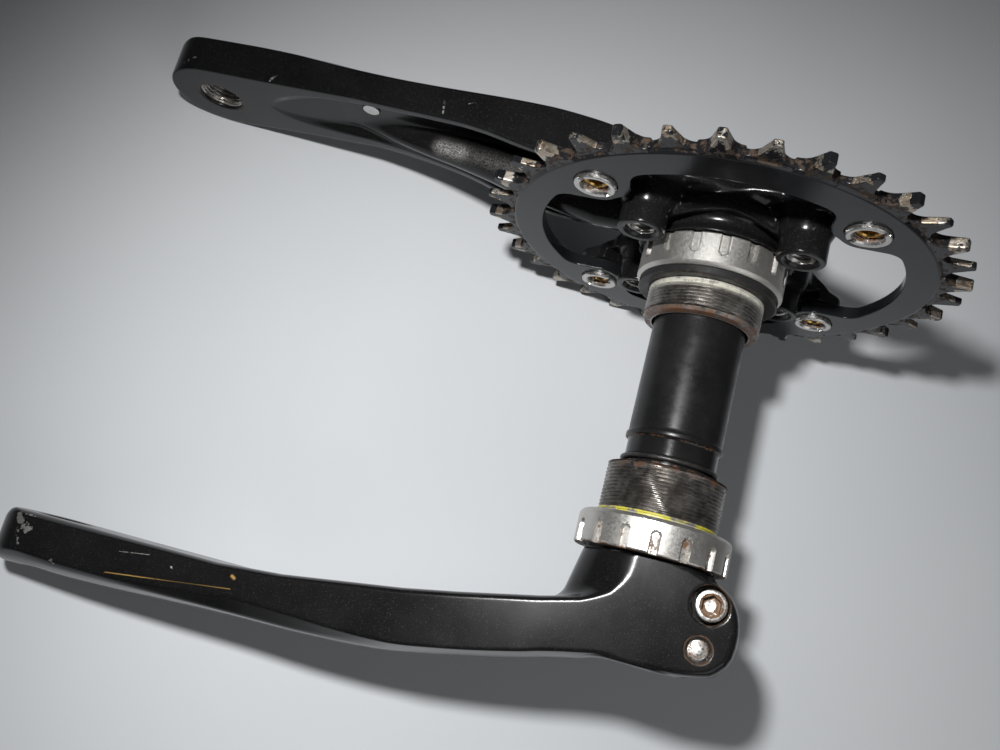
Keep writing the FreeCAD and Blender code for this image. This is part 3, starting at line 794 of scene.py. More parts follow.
# ------------------------------------------------------------------ materials
def arm_paint(name, wear, scratch, grime, gloss, gold=(), painted_sheen_rows=()):
    """Satin black paint with a metallic grain and, where rows are given, a painted highlight; the tables hold rows for
    Mat.mark.
    """
    mat = Mat(name)
    grain = mat.noise(per_mm=2.6, detail=2, rough=0.6)
    fleck = mat.mul(mat.step(mat.cells(per_mm=3.1), low=0.34, high=0.05),
                    mat.patch(per_mm=3.3, detail=1, low=0.50, high=0.66))
    blotch = mat.noise(per_mm=0.035, detail=4, rough=0.6)
    color = mat.mix(mat.step(blotch, high=0.75), (0.0050, 0.0050, 0.0051),
                    (0.0085, 0.0085, 0.0087))
    color = mat.mix(mat.mul(fleck, 0.40), color, (0.24, 0.23, 0.22))
    # bare metal, rust-brown dirt and pale dust
    worn = mat.ragged(mat.most(*mat.marks(wear)), per_mm=0.55, detail=6, rough=0.7,
                      spread=1.9, low=0.66, high=0.74)
    worn = mat.most(worn, mat.mul(mat.most(*mat.marks(scratch)),
                                  mat.patch(per_mm=0.9, low=0.40, high=0.55)))
    dirt = mat.ragged(mat.most(*mat.marks(grime)), per_mm=0.45, detail=5, rough=0.65,
                      spread=1.5, low=0.45, high=0.85)
    dust = mat.mul(mat.patch(per_mm=1.1, detail=5, rough=0.8, low=0.62, high=0.78), 0.14)
    color = mat.mix(dust, color, (0.14, 0.135, 0.125))
    color = mat.mix(mat.mul(dirt, 0.85), color, (0.085, 0.050, 0.028))
    color = mat.mix(worn, color, (0.56, 0.55, 0.52))
    rough = mat.lerp(mat.step(blotch, low=0.25, high=0.8), 0.18, 0.24)
    for mask, level in ((fleck, 0.26), (dirt, 0.75), (worn, 0.42)):
        rough = mat.lerp(mask, rough, level)
    height = mat.add(grain, mat.mul(mat.noise(per_mm=0.55, detail=2), 0.6))
    height = mat.math("SUBTRACT", height, mat.mul(worn, 0.8))
    normal = mat.bump(height, depth=0.020, strength=0.36)
    # painted highlight: a pale grainy streak along these rows, standing in for the light's reflection, with rougher
    # paint under it
    if painted_sheen_rows:
        soft = mat.add(*mat.marks(painted_sheen_rows))
        painted_highlight = mat.mul(soft, soft, mat.patch(per_mm=2.3, rough=0.75, low=0.36, high=0.72))
        color = mat.mix(painted_highlight, color, (0.46, 0.45, 0.43))
        rough = mat.lerp(soft, rough, 0.34)
    if gold:
        line = mat.mul(mat.most(*mat.marks(gold)), mat.patch(per_mm=0.25, low=0.30, high=0.42))
        color = mat.mix(line, color, (0.36, 0.22, 0.06))
        rough = mat.lerp(line, rough, 0.5)
    return mat.finish(color, rough, normal, metal=mat.mul(worn, 0.9), spec=gloss)


def ring_black(name):
    """Dark anodised plate; attribute bare marks worn teeth, grime their roots."""
    mat = Mat(name)
    fine = mat.noise(per_mm=1.6, rough=0.6)
    color = mat.mix(mat.patch(per_mm=0.06, rough=0.5), (0.007, 0.0073, 0.0082),
                    (0.011, 0.0114, 0.0128))
    bare = mat.ragged(mat.attr("bare"), per_mm=0.55, detail=6, rough=0.7,
                      spread=1.7, low=0.46, high=0.60)
    metal = mat.mix(mat.patch(per_mm=0.35, low=0.35, high=0.65), (0.46, 0.43, 0.38),
                    (0.42, 0.33, 0.24))
    dirt = mat.ragged(mat.attr("grime"), per_mm=0.5, detail=5, rough=0.7,
                      spread=2.0, low=0.62, high=0.85)
    brown = mat.mix(mat.noise(per_mm=0.8), (0.012, 0.008, 0.006), (0.085, 0.052, 0.030))
    color = mat.mix(bare, color, metal)
    color = mat.mix(mat.mul(dirt, 0.8), color, brown)
    rough = mat.lerp(bare, mat.step(fine, at_low=0.13, at_high=0.19),
                     mat.patch(per_mm=0.9, at_low=0.28, at_high=0.48))
    rough = mat.lerp(dirt, rough, 0.75)
    pits = mat.mul(mat.noise(per_mm=0.8, detail=4, rough=0.7), bare, 5.0)
    height = mat.add(mat.mul(fine, 0.5), pits, mat.mul(dirt, 1.2))
    normal = mat.bump(height, depth=0.018, strength=0.7)
    return mat.finish(color, rough, normal, metal=mat.mul(bare, 0.95), spec=0.27)


def blasted(name):
    """Bead-blasted alloy; attributes mark dirt, thread, rust, sealant and yellow compound."""
    mat = Mat(name)
    grain = mat.noise(per_mm=1.5, detail=4, rough=0.7)
    color = mat.mix(mat.patch(per_mm=0.12, rough=0.6), (0.50, 0.485, 0.455),
                    (0.60, 0.585, 0.555))
    specks = mat.patch(per_mm=0.8, detail=5, rough=0.8, low=0.60, high=0.75)
    color = mat.mix(mat.mul(specks, 0.45), color, (0.22, 0.18, 0.14))
    dirt = mat.ragged(mat.attr("grime"), per_mm=0.42, detail=5, rough=0.7,
                      spread=1.9, low=0.50, high=0.80)
    color = mat.mix(dirt, color, mat.mix(mat.noise(per_mm=0.7), (0.030, 0.016, 0.009),
                                         (0.19, 0.105, 0.055)))
    thread = mat.attr("thread")
    dark = mat.mix(mat.patch(per_mm=0.22, rough=0.6, high=0.72), (0.13, 0.120, 0.112),
                   (0.29, 0.275, 0.258))
    rust = mat.ragged(mat.attr("rust"), per_mm=0.3, detail=5, rough=0.7,
                      spread=1.7, low=0.5, high=0.8)
    color = mat.mix(thread, color, mat.mix(rust, dark, (0.105, 0.052, 0.030)))
    sealant = mat.attr("sealant")
    color = mat.mix(mat.mul(sealant, mat.patch(per_mm=0.5, detail=4, rough=0.7, high=0.5)),
                    color, (0.50, 0.49, 0.42))
    yellow = mat.attr("yellow")
    color = mat.mix(mat.mul(yellow, mat.patch(per_mm=0.22, low=0.35, high=0.5)),
                    color, (0.46, 0.42, 0.05))
    rough = mat.lerp(thread, mat.step(grain, at_low=0.34, at_high=0.50),
                     mat.patch(per_mm=0.6, detail=4, at_low=0.26, at_high=0.5))
    rough = mat.lerp(dirt, rough, 0.8)
    rough = mat.lerp(sealant, rough, 0.6)
    cover = mat.most(mat.most(dirt, sealant), mat.most(yellow, mat.mul(rust, thread)))
    normal = mat.bump(mat.add(grain, mat.mul(dirt, 1.5)), depth=0.022, strength=0.8)
    return mat.finish(color, rough, normal, metal=mat.bare_metal(cover, 0.92))


def plastic(name, tone=(0.012, 0.012, 0.0125), rough=(0.30, 0.46), greasy=False):
    """Plastic of the given tone and roughness range, with specks, dirt and grease ripples."""
    mat = Mat(name)
    grain = mat.noise(per_mm=1.1, detail=4, rough=0.65)
    color = mat.mix(mat.patch(per_mm=0.07, detail=4, rough=0.6, high=0.75), tone,
                    tuple(channel * 1.8 for channel in tone))
    speck = mat.patch(per_mm=0.9, detail=5, rough=0.85, low=0.62, high=0.75)
    color = mat.mix(mat.mul(speck, 0.22), color, (0.20, 0.17, 0.14))
    dirt = mat.ragged(mat.attr("grime"), per_mm=0.4, detail=5, rough=0.7,
                      spread=1.7, low=0.48, high=0.8)
    color = mat.mix(mat.mul(dirt, 0.9), color, (0.10, 0.048, 0.024))
    shine = mat.patch(per_mm=0.18, detail=4, rough=0.7, at_low=rough[0], at_high=rough[1])
    if greasy:
        shine = mat.lerp(mat.attr("grease"), shine, 0.16)
    shine = mat.lerp(dirt, shine, 0.6)
    ripples = mat.mul(mat.attr("grease"), mat.noise(per_mm=0.16, rough=0.6), 3.5)
    height = mat.add(mat.mul(grain, 0.6), mat.mul(speck, 0.8), ripples)
    return mat.finish(color, shine, mat.bump(height, depth=0.025, strength=0.6), spec=0.26)


def steel(name, dark=(0.50, 0.49, 0.47), light=(0.62, 0.61, 0.59), rough=(0.22, 0.40),
          dirt=1.0, stretch=None):
    """Metal between two tones; dirt scales its grime and stretch draws its grain out."""
    mat = Mat(name)
    vector = mat.stretch(stretch) if stretch else None
    grain = mat.noise(per_mm=1.2, detail=4, rough=0.65, vector=vector)
    color = mat.mix(mat.patch(per_mm=0.3, detail=4, rough=0.7, vector=vector), dark, light)
    dirt = mat.mul(mat.ragged(mat.attr("grime"), per_mm=0.7, detail=5, rough=0.75,
                              spread=1.8, low=0.5, high=0.8), dirt)
    color = mat.mix(dirt, color, mat.mix(mat.noise(per_mm=1.0), (0.05, 0.024, 0.012),
                                         (0.22, 0.12, 0.06)))
    shine = mat.lerp(dirt, mat.step(grain, at_low=rough[0], at_high=rough[1]), 0.78)
    normal = mat.bump(mat.add(grain, dirt), depth=0.018, strength=0.7)
    return mat.finish(color, shine, normal, metal=mat.bare_metal(dirt, 0.96))


def rubber(name):
    mat = Mat(name)
    grain = mat.noise(per_mm=1.4, detail=4, rough=0.7)
    color = mat.mix(mat.patch(per_mm=0.25, detail=4), (0.009, 0.009, 0.009),
                    (0.022, 0.021, 0.020))
    specks = mat.patch(per_mm=0.8, detail=5, rough=0.8, low=0.58, high=0.72)
    color = mat.mix(mat.mul(specks, 0.35), color, (0.12, 0.075, 0.045))
    return mat.finish(color, mat.step(grain, at_low=0.26, at_high=0.52),
                      mat.bump(grain, depth=0.03, strength=0.7))


RING = ring_black("ring black anodised")
CUP = blasted("cup alloy")
PLASTIC = plastic("black plastic", tone=(0.0065, 0.0065, 0.0068), rough=(0.24, 0.36), greasy=True)
PLAIN_PLASTIC = plastic("black plastic plain")
STEEL = steel("bolt steel")
BRONZE = steel("bolt bronze", dark=(0.58, 0.36, 0.10), light=(0.76, 0.50, 0.18),
               rough=(0.20, 0.36), dirt=0.7)
SPINDLE = steel("spindle steel", dark=(0.30, 0.30, 0.30), light=(0.42, 0.42, 0.42),
                rough=(0.20, 0.34), dirt=0.5, stretch=(0.35, 1.0, 0.35))
BEARING = steel("bearing steel", dark=(0.55, 0.55, 0.56), light=(0.66, 0.66, 0.67),
                rough=(0.10, 0.20), dirt=0.3)
CAGE = plastic("cage plastic", tone=(0.30, 0.26, 0.18), rough=(0.4, 0.55))
RUBBER = rubber("black rubber")
THREADS = steel("thread steel", dark=(0.34, 0.32, 0.30), light=(0.55, 0.53, 0.50),
                rough=(0.22, 0.42), dirt=0.9)


# ------------------------------------------------------------------ shared by both arms
def outer_wall(X, out, rise, silhouette, crease, bevel, crown, half_height, blend):
    """Outer side: a crown from the silhouette down to the crease, then a bevel to the flat.

    out is the distance along Y away from the frame, rise is |z|; crown is the crease's |z|.
    """
    top, fold_y, width = silhouette(X), crease(X), crown(X)
    surface = top - (top - fold_y) * (rise / width) ** 2
    steep = np.sqrt(1 + (2 * (top - fold_y) * np.minimum(rise, width) / width ** 2) ** 2)
    run, drop = fold_y - bevel(X), half_height(X) - width
    length = np.sqrt(run ** 2 + drop ** 2)
    slant = ((out - fold_y) * drop + (rise - width) * run) / length
    return meet((out - surface) / steep, slant, blend)


def pedal_hole(body, X, out, Z, inner, outer):
    """Bore with a chamfer at each end; each is (radius, its y, y where the chamfer stops)."""
    radius = dist(X - CRANK, Z)
    body = carve(body, radius - PEDAL_BORE, 0.2)
    size, face, stop = inner
    body = carve(body, np.maximum(radius - size + (out - face), out - stop) * 0.72, 0.15)
    size, face, stop = outer
    return carve(body, np.maximum(radius - size - (out - face), stop - out) * 0.72, 0.15)


def tube_line(x, z, y0, y1):
    return [(x, y0, z), (x, y1, z)]


# ------------------------------------------------------------------ left arm
# x along the arm against y: ridge line, crease, lower edge of the bevel; then the crease's |z|
LEFT_OUTER = curve(
    (-23, 72.5), (-11.5, 74.3), (5.8, 75.2), (14, 76.7), (22.7, 78.8), (28.9, 80.6), (49.7, 85.3),
    (64.7, 87.9), (78.9, 89.4), (95, 90.2), (115, 90.7), (131, 91.4), (152, 92.5), (168, 93.0),
    (184, 93.25), (195, 93.25))
LEFT_CREASE = curve(
    (-23, 71.9), (-18.9, 72.6), (-11.5, 73.6), (-3, 74.1), (5.8, 74.4), (14, 75.9), (22.7, 78.0),
    (28.9, 79.8), (49.7, 84.5), (64.7, 86.9), (78.9, 88.2), (95, 89.0), (114, 89.2), (145, 89.7),
    (163, 90.0), (182, 89.4), (195, 89.2))
LEFT_BEVEL = curve(
    (-23, 71.2), (-11.5, 72.8), (5.8, 73.6), (14, 75.1), (22.7, 77.1), (28.9, 78.9), (49.7, 83.5),
    (64.7, 85.4), (79, 85.4), (95, 84.9), (110.8, 84.7), (120, 85.8), (135, 87.6), (150, 88.6),
    (180, 88.2), (195, 88.0))
LEFT_CROWN = curve(
    (-23, 14.4), (5, 14.2), (30, 12.8), (60, 11.6), (85, 11.0), (105, 11.4), (120, 12.8),
    (138, 14.5), (150, 15.0), (195, 15.0))
# (x, y) outline of the inner side and the clamp's round end
CLAMP_FACE = 45.4
LEFT_INNER = [
    (3.4, 44.0), (3.5, 49.0), (4.0, 51.4), (5.8, 54.0), (8.6, 56.6), (15.9, 59.8), (26.3, 62.5),
    (48.7, 67.2), (64.1, 70.1), (98.9, 75.2), (118, 76.7), (150, 76.8), (200, 76.8)]
LEFT_PLAN = [
    (260, 76.8), (260, 130), (-12.6, 130), (-12.6, 74.6), (-16.0, 73.7), (-19.0, 72.7),
    (-21.3, 71.8), (-23.1, 70.4), (-25.1, 68.2), (-26.2, 65.8), (-26.6, 63.0), (-26.7, 59.7),
    (-26.3, 57.0), (-25.6, 54.6), (-24.8, 53.0), (-23.6, 51.3), (-22.2, 50.0), (-20.6, 48.9),
    (-18.6, 48.0), (-16.4, 47.2), (-14.0, 46.4), (-11.0, CLAMP_FACE),
] + [(x, max(y, CLAMP_FACE)) for x, y in LEFT_INNER]


def left_half_height(x):
    return 16.0 + 0.2 * ease(0, 30, x) + 0.8 * ease(120, 175, x)


def left_arm_field(X, Y, Z):
    rise = np.abs(Z)
    radius = dist(X, Z)
    half = left_half_height(X)
    outer = outer_wall(np.minimum(X, 195.0), Y, rise, LEFT_OUTER, LEFT_CREASE, LEFT_BEVEL,
                       LEFT_CROWN, left_half_height,
                       0.5 + 3.0 * ease(85, 40, X) * ease(-10, 10, X))
    # inner side, bulging and bevelled round the clamp's end
    plan = polygon_distance(X + 0 * Y, Y + 0 * X, LEFT_PLAN)
    end = ease(-15, -22, X)
    side = plan - 1.2 * end * (1 - np.minimum(rise / 14.2, 1.0) ** 2)
    bevel = (plan + (0.9 + 0.5 * end) * (rise - 14.4) / 1.7) * 0.87
    body = meet(meet(side, bevel, 0.8), outer, 1.0)
    body = meet(body, 45.95 - Y, 0.6)
    # oval neck around the spindle
    neck_x = np.interp(Y, [46, 47.2, 60, 66], [18.6, 18.9, 21.6, 21.6])
    neck_z = 16.4
    neck = (np.sqrt((X / neck_x) ** 2 + (Z / neck_z) ** 2) - 1) * neck_z * 0.93
    neck = meet(meet(neck, 45.85 - Y, 0.6), Y - 70.0, 2.0)
    body = join(body, neck, 3.2)
    # outside collar around the cap
    collar = meet(meet(radius - 16.0, Y - 73.4, 1.0), 60 - Y, 1)
    body = join(body, collar, 2.0)
    # flat top and bottom, and the round pedal end
    tip = np.hypot(np.maximum(X - ARM_END, 0), Z) - (half - 0.5 * ease(180, 191, X))
    body = meet(body, np.where(X > ARM_END, tip, rise - half), 0.7 + 3.6 * ease(181, 190, X))
    # spindle bore, cap recess and clamp slot
    body = carve(body, radius - SPINDLE_BORE, 0.15)
    body = carve(body, meet(radius - 13.72, 71.0 - Y, 0.1), 0.3)
    body = carve(body, np.maximum(rise - 1.25, X + 6.0), 0.35)
    # clamp bolts: hole, head recess and the relief at the far end
    for x, y, side in CLAMP_BOLTS:
        hole = dist(X - x, Y - y)
        recess = dist(X - x - 0.5, Y - y)
        body = carve(body, hole - 3.08, 0.15)
        body = carve(body, meet(recess - 5.25, 8.5 - side * Z, 0.1), 0.55)
        body = carve(body, meet(hole - 3.45, 14.6 + side * Z, 0.1), 0.4)
    return pedal_hole(body, X, Y, Z, inner=(8.2, 76.8, 78.0), outer=(8.0, 92.6, 91.4))


# Paint marks: points, fading width, strength, tube radius
(bolt1_x, bolt1_y, _), (bolt2_x, bolt2_y, _) = CLAMP_BOLTS
LEFT_WEAR = [
    ([(184, 78.0, 16.6), (172, 77.0, 17), (147.6, 76.6, 16.6)], 2.2, 0.74),
    ([(180.7, 78.6, 16.5), (175.6, 81.8, 17)], 3.4, 0.86),
    ([(179.4, 82.0, 16.6), (177.0, 85.8, 16.8)], 2.4, 0.70),
    ([(165.4, 88.0, 16.5), (164.6, 89.2, 16.0)], 1.6, 0.72),
    ([(191, 80, 4), (190.6, 88, -5)], 3.5, 0.45),
    ([(x, LEFT_CREASE(x), LEFT_CROWN(x)) for x in (184, 95, -18)], 0.7, 0.34),
    ([(-19, 74.0, 14.6), (-25.2, 68.0, 14.6), (-26.1, 56.6, 14.6), (-24, 50.4, 14.6)], 0.8, 0.50),
    ([(129.8, 81.2, 16.4), (129.0, 81.5, 16.4)], 1.0, 0.80),
    ([(66.6, 84.6, 12.2), (65.2, 85.0, 11.9)], 1.2, 0.80),
    ([(12.5, 76.6, 14.4), (10.5, 76.0, 14.6)], 1.1, 0.62),
    ([(bolt1_x, bolt1_y, 12), (bolt1_x, bolt1_y, 20)], 0.7, 0.42, 5.5),
    ([(bolt2_x, bolt2_y, 12), (bolt2_x, bolt2_y, 20)], 0.6, 0.40, 3.7)]
LEFT_SCRATCH = [([(146, 80.9, 16.5), (137, 79.6, 16.4)], 0.16, 0.7)]
LEFT_GOLD = [
    ([(148.2, 87.5, 16.5), (128.5, 85.0, 16.4), (110.8, 82.7, 16.3)], 0.24),
    ([(111.4, 79.2, 16.3), (110.6, 79.6, 16.3)], 0.7)]
LEFT_GRIME = [
    ([(bolt1_x + 0.4, bolt1_y, -30), (bolt1_x + 0.4, bolt1_y, 30)], 1.0, 0.80, 5.1),
    ([(bolt2_x, bolt2_y, -30), (bolt2_x, bolt2_y, 30)], 0.8, 0.85, 3.6),
    (tube_line(CRANK, 0, 70, 100), 1.2, 0.45, 8.0)]

paint = arm_paint("left arm paint", LEFT_WEAR, LEFT_SCRATCH, LEFT_GRIME, gloss=0.22,
                  gold=LEFT_GOLD)
place_field("left arm shell", left_arm_field, low=(-28, 45.6, -17.5), high=(192.4, 93.6, 17.5),
            voxel=0.55 if QUICK else 0.38, material=paint, slot="arm_black",
            replaces=["left_crank_arm"], target=185000)

# ------------------------------------------------------------------ right arm and spider
# Distances out along -Y are positive here. x along the arm against each value:
RIGHT_HALF = curve(      # half height
    (12, 19.6), (30, 18.6), (50, 17.6), (76, 16.8), (100, 16.3), (125, 16.1), (150, 16.3),
    (175, 17.0), (200, 17.0))
RIGHT_INNER = curve(     # inner face at the upper edge
    (0, 61.0), (12, 61.5), (26, 62.5), (44, 63.8), (54, 64.8), (62, 65.9), (69, 67.3), (77, 69.1),
    (86, 70.4), (97, 71.1), (112, 71.8), (125, 72.4), (200, 72.4))
RIGHT_INNER_LOW = curve(     # inner face at the lower edge
    (0, 59.6), (44, 59.7), (55, 60.2), (65, 61.8), (76, 64.3), (83, 66.4), (90, 68.1),
    (105, 70.6), (115, 71.8), (124, 72.4), (200, 72.4))
RIGHT_OUTER = curve(     # ridge line of the outer side
    (0, 78.0), (25.5, 79.4), (31, 81.4), (44, 84.3), (54, 85.6), (76, 86.8), (93, 86.8),
    (114, 87.0), (138, 88.0), (162, 88.5), (192, 88.5))
RIGHT_BEVEL = curve(     # lower edge of the bevel
    (0, 74.5), (30, 76.5), (45, 79.0), (60, 80.8), (75, 81.3), (90, 81.4), (105, 81.6),
    (120, 82.2), (135, 83.1), (150, 84.6), (175, 85.4), (192, 85.4))
RIGHT_CROWN = curve(     # |z| of the crease
    (0, 13), (20, 12), (40, 10), (60, 8), (80, 7), (95, 6.5), (110, 7), (120, 8.5), (138, 12.5),
    (150, 14), (175, 15), (192, 15))
SCOOP_Z = curve(         # |z| of the scoop's upper edge
    (60, 13.6), (95, 12.6), (118, 12.2), (132, 11.4), (143, 9.6), (150, 6.8), (154, 4.0),
    (156.5, 0.0), (172, -8.0))
SCOOP_Z_LOW = curve(     # |z| of the scoop's lower edge
    (50, 13.6), (66, 13.2), (80, 12.8), (98, 12.2), (112, 11.4), (124, 10.4), (137, 8.8),
    (147, 6.6), (153, 3.8), (156.5, 0.0), (172, -8.0))
SCOOP_Y = curve(         # floor of the scoop
    (20, 60.0), (44, 63.0), (52, 66.5), (60, 71.8), (68, 75.0), (80, 76.0), (98, 76.2),
    (112, 76.0), (125, 75.3), (138, 74.2), (149, 73.1), (155, 72.6), (160, 72.4))
RIB_Y = curve(           # rib in the scoop: its axis and radius
    (40, 62.5), (50, 64.0), (69.5, 67.0), (78, 68.6), (91, 70.8), (100, 72.0), (115, 74.6),
    (126, 77.5), (140, 82.0))
RIB_Z = curve((40, -4.0), (69.5, -4.2), (78, -4.6), (91, -5.5), (100, -6.2), (115, -7.0),
              (126, -7.5))
RIB_R = curve((40, 8.0), (50, 7.6), (69.5, 6.4), (78, 5.6), (91, 4.5), (100, 3.7), (115, 2.3),
              (126, 1.0), (140, 0.3))
# outer side of the spokes against distance along the spoke
SPOKE_OUTER = curve((0, 68.0), (26, 66.0), (36, 62.4), (44, 59.2), (48, 57.7), (70, 57.5))


def fold(X, Z):
    """Distances along and across the nearest diagonal."""
    rising, falling = np.abs(X + Z) * math.sqrt(0.5), np.abs(Z - X) * math.sqrt(0.5)
    return np.maximum(rising, falling), np.minimum(rising, falling)


def right_crease(x):
    return RIGHT_OUTER(x) - 3.4 * (RIGHT_CROWN(x) / 15.0) ** 2


def right_blade(X, out, Z):
    """The arm itself, with the long scoop in its inner face and a rib running from the hub."""
    rise = np.abs(Z)
    x = np.clip(X, 0.0, 192.0)
    outer = outer_wall(x, out, rise, RIGHT_OUTER, right_crease, RIGHT_BEVEL, RIGHT_CROWN,
                       RIGHT_HALF, 0.6 + 1.6 * ease(60, 20, X))
    lower = ease(5.0, -5.0, Z)
    shallow = 1 - 0.80 * ease(1, -10, Z) * ease(128, 105, X)
    scoop = (ease(0.9, -2.6, rise - SCOOP_Z(X)) * (1 - lower)
             + ease(1.2, -2.6, rise - SCOOP_Z_LOW(X)) * shallow * lower)
    edge = RIGHT_INNER(x) + (RIGHT_INNER_LOW(x) - RIGHT_INNER(x)) * ease(9.0, -9.0, Z)
    face = edge + np.maximum(SCOOP_Y(x) - edge, 0) * scoop
    # divide by the slope so the inner face's field is a true distance
    spacing = float(abs(Z[0, 0, 1] - Z[0, 0, 0]))
    slope_x = (np.gradient(face, axis=0) if face.shape[0] > 2 else 0 * face) / spacing
    slope_z = np.gradient(face, axis=2) / spacing
    inner = (face - out) / np.sqrt(1 + slope_x ** 2 + slope_z ** 2)
    half = RIGHT_HALF(x)
    top = np.where(X > ARM_END, np.hypot(np.maximum(X - ARM_END, 0), Z) - half, rise - half)
    body = meet(meet(inner, outer, 1.0), top, 0.8)
    rib = (dist(out - RIB_Y(X), Z - RIB_Z(X)) - RIB_R(X)) * 0.95
    body = join(body, meet(rib, X - 136.0, 1.0), 2.6)
    return np.maximum(body, 11.0 - X)


def right_hub(out, radius):
    size = 21.9 - 1.6 * ease(48.6, 51.6, out) + 2.2 * ease(52, 57, out) - 2.5 * ease(68, 77, out)
    hub = meet(meet(radius - size, 48.32 - out, 0.7), out - 77.2, 2.2)
    lip = meet(meet(radius - 13.9, 47.95 - out, 0.3), out - 60.0, 1.0)
    return join(hub, lip, 0.6)


def add_web(body, X, out, Z, radius):
    """Web between the spokes, with a raised wave around the hub."""
    wave = np.cos(4 * np.arctan2(Z, X))
    edge = 30.0 - 3.6 * wave            # shallow scallops facing 0, 90, 180 and 270 degrees
    face = 57.4 + 2.2 * ease(24.5, 27.5, radius)
    web = meet(meet(radius - edge, face - out, 2.0), out - 63.5, 3.0)
    body = join(body, web, 3.0)
    wave_y = 54.9 + 1.6 * wave
    wave_r = 24.6 - 1.0 * wave
    return join(body, dist(radius - wave_r, out - wave_y) - 2.5, 1.3)


def add_spokes(body, out, along, across):
    """Spokes on the diagonals, ending in round tabs thinned to seat the chainring."""
    tab = dist(np.maximum(along - BOLT_R, 0), across)
    half = np.where(along < BOLT_R,
                    8.0 - 1.3 * ease(47, 40, along) + 1.5 * ease(36, 27, along), 8.0)
    side = np.where(along > BOLT_R, tab - 8.0, across - half)
    face = 52.70 + 3.3 * ease(43.6, 42.9, along)
    spoke = meet(meet(side, face - out, 0.35), (out - SPOKE_OUTER(along)) * 0.9, 1.6)
    return join(body, np.maximum(spoke, 15.0 - along), 2.2)


def right_arm_field(X, Y, Z):
    out = -Y
    radius = dist(X, Z)
    along, across = fold(X, Z)
    body = join(right_hub(out, radius), right_blade(X, out, Z), 4.0)
    body = add_web(body, X, out, Z, radius)
    body = add_spokes(body, out, along, across)
    # inner bosses
    boss = dist(along - BOSS_R, across)
    shoulder = 1.7 * ease(49.5, 55.0, out)
    post = meet(meet(boss - 6.95 - shoulder, 43.42 - out, 0.45), out - 62.0, 2.0)
    body = join(body, post, 1.6)
    # keep clear of the chainring's plate
    body = np.maximum(body, np.where(radius > 43.3, 52.66 - out, -1e3))
    body = carve(body, radius - SPINDLE_BORE, 0.15)
    # ring bolt holes with head recesses, then boss holes with chamfers
    bolt = dist(along - BOLT_R, across)
    body = carve(body, bolt - 5.06, 0.2)
    body = carve(body, meet(bolt - 6.92, 55.9 - out, 0.1), 0.25)
    body = carve(body, np.maximum(boss - 3.98, out - 56.0), 0.2)
    body = carve(body, np.maximum(boss - 3.98 - (44.45 - out), out - 45.0) * 0.72, 0.15)
    body = pedal_hole(body, X, out, Z, inner=(7.65, 72.4, 74.0), outer=(8.1, 87.9, 86.6))
    # small hole in the scoop for the core plug
    plug = dist(X - 119.5, Z - 4.5)
    return carve(body, np.maximum(plug - 2.82, out - 76.4), 0.15)


# crest of the rib, where the right arm's painted highlight runs
RIB_CREST = [(x, -(RIB_Y(x) - 0.32 * RIB_R(x)), RIB_Z(x) + 0.93 * RIB_R(x))
             for x in (95, 88, 79, 66)]
RIGHT_WEAR = [
    ([(183.5, -83.5, 14.0), (188.5, -80.9, 8.5), (190.5, -76.5, 4)], 2.0, 0.64),
    ([(178.5, -76.5, 16.6), (183, -74.5, 14.9)], 1.6, 0.6),
    ([(151.0, -73.2, 16.2), (149.2, -75.4, 16.4)], 1.3, 0.66),
    ([(x, -RIGHT_BEVEL(x) - 0.4, RIGHT_HALF(x) - 0.3)
      for x in (186, 160, 140, 120, 100, 80, 60, 40)], 0.9, 0.34),
    ([(x, -RIGHT_INNER(x) - 0.4, RIGHT_HALF(x) - 0.4)
      for x in (180, 160, 140, 120, 100, 80, 60)], 0.9, 0.34),
    (tube_line(0, 0, -79, -76), 1.2, 0.34, 21.0)]
RIGHT_SCRATCH = [
    ([(91.6, -72.4, 16.4), (92.2, -76.4, 16.4)], 0.40),
    ([(84.4, -77.0, 16.5), (82.6, -77.9, 16.5)], 0.22),
    ([(130, -87.6, 6), (108, -86.6, 3)], 0.2, 0.8)]
RIGHT_GRIME = [(tube_line(CRANK, 0, -70, -95), 1.3, 0.6, 7.9),
               (tube_line(0, 0, -56, -52), 4.0, 0.36, 23.0)]
for angle in DIAGONALS:
    cos, sin = math.cos(angle), math.sin(angle)
    RIGHT_GRIME += [
        (tube_line(BOSS_R * cos, BOSS_R * sin, -57.5, -56.5), 2.2, 0.45, 7.6),
        (tube_line(BOLT_R * cos, BOLT_R * sin, -60, -50), 1.2, 0.42, 7.2)]
# painted highlight along the rib's crest, brightest towards its pedal end
RIGHT_PAINTED_SHEEN = [(RIB_CREST[:2], 5.2, 0.52), (RIB_CREST, 6.2, 0.52)]

paint = arm_paint("right arm paint", RIGHT_WEAR, RIGHT_SCRATCH, RIGHT_GRIME, gloss=0.27,
                  painted_sheen_rows=RIGHT_PAINTED_SHEEN)
place_field("right arm and spider", right_arm_field, low=(-61, -89.0, -61),
            high=(192.4, -43.3, 61), voxel=0.6 if QUICK else 0.40, material=paint,
            slot="arm_black", replaces=["right_crank_arm"], target=190000)

# ------------------------------------------------------------------ chainring
TEETH, LINK_PITCH = 34, 12.7
TIP_R, SEAT_R = 72.28, 3.95       # tooth tips; the arcs between the teeth
STEP = 2 * math.pi / TEETH
PHASE = math.radians(0.5)
PITCH_R = LINK_PITCH / (2 * math.sin(math.pi / TEETH))


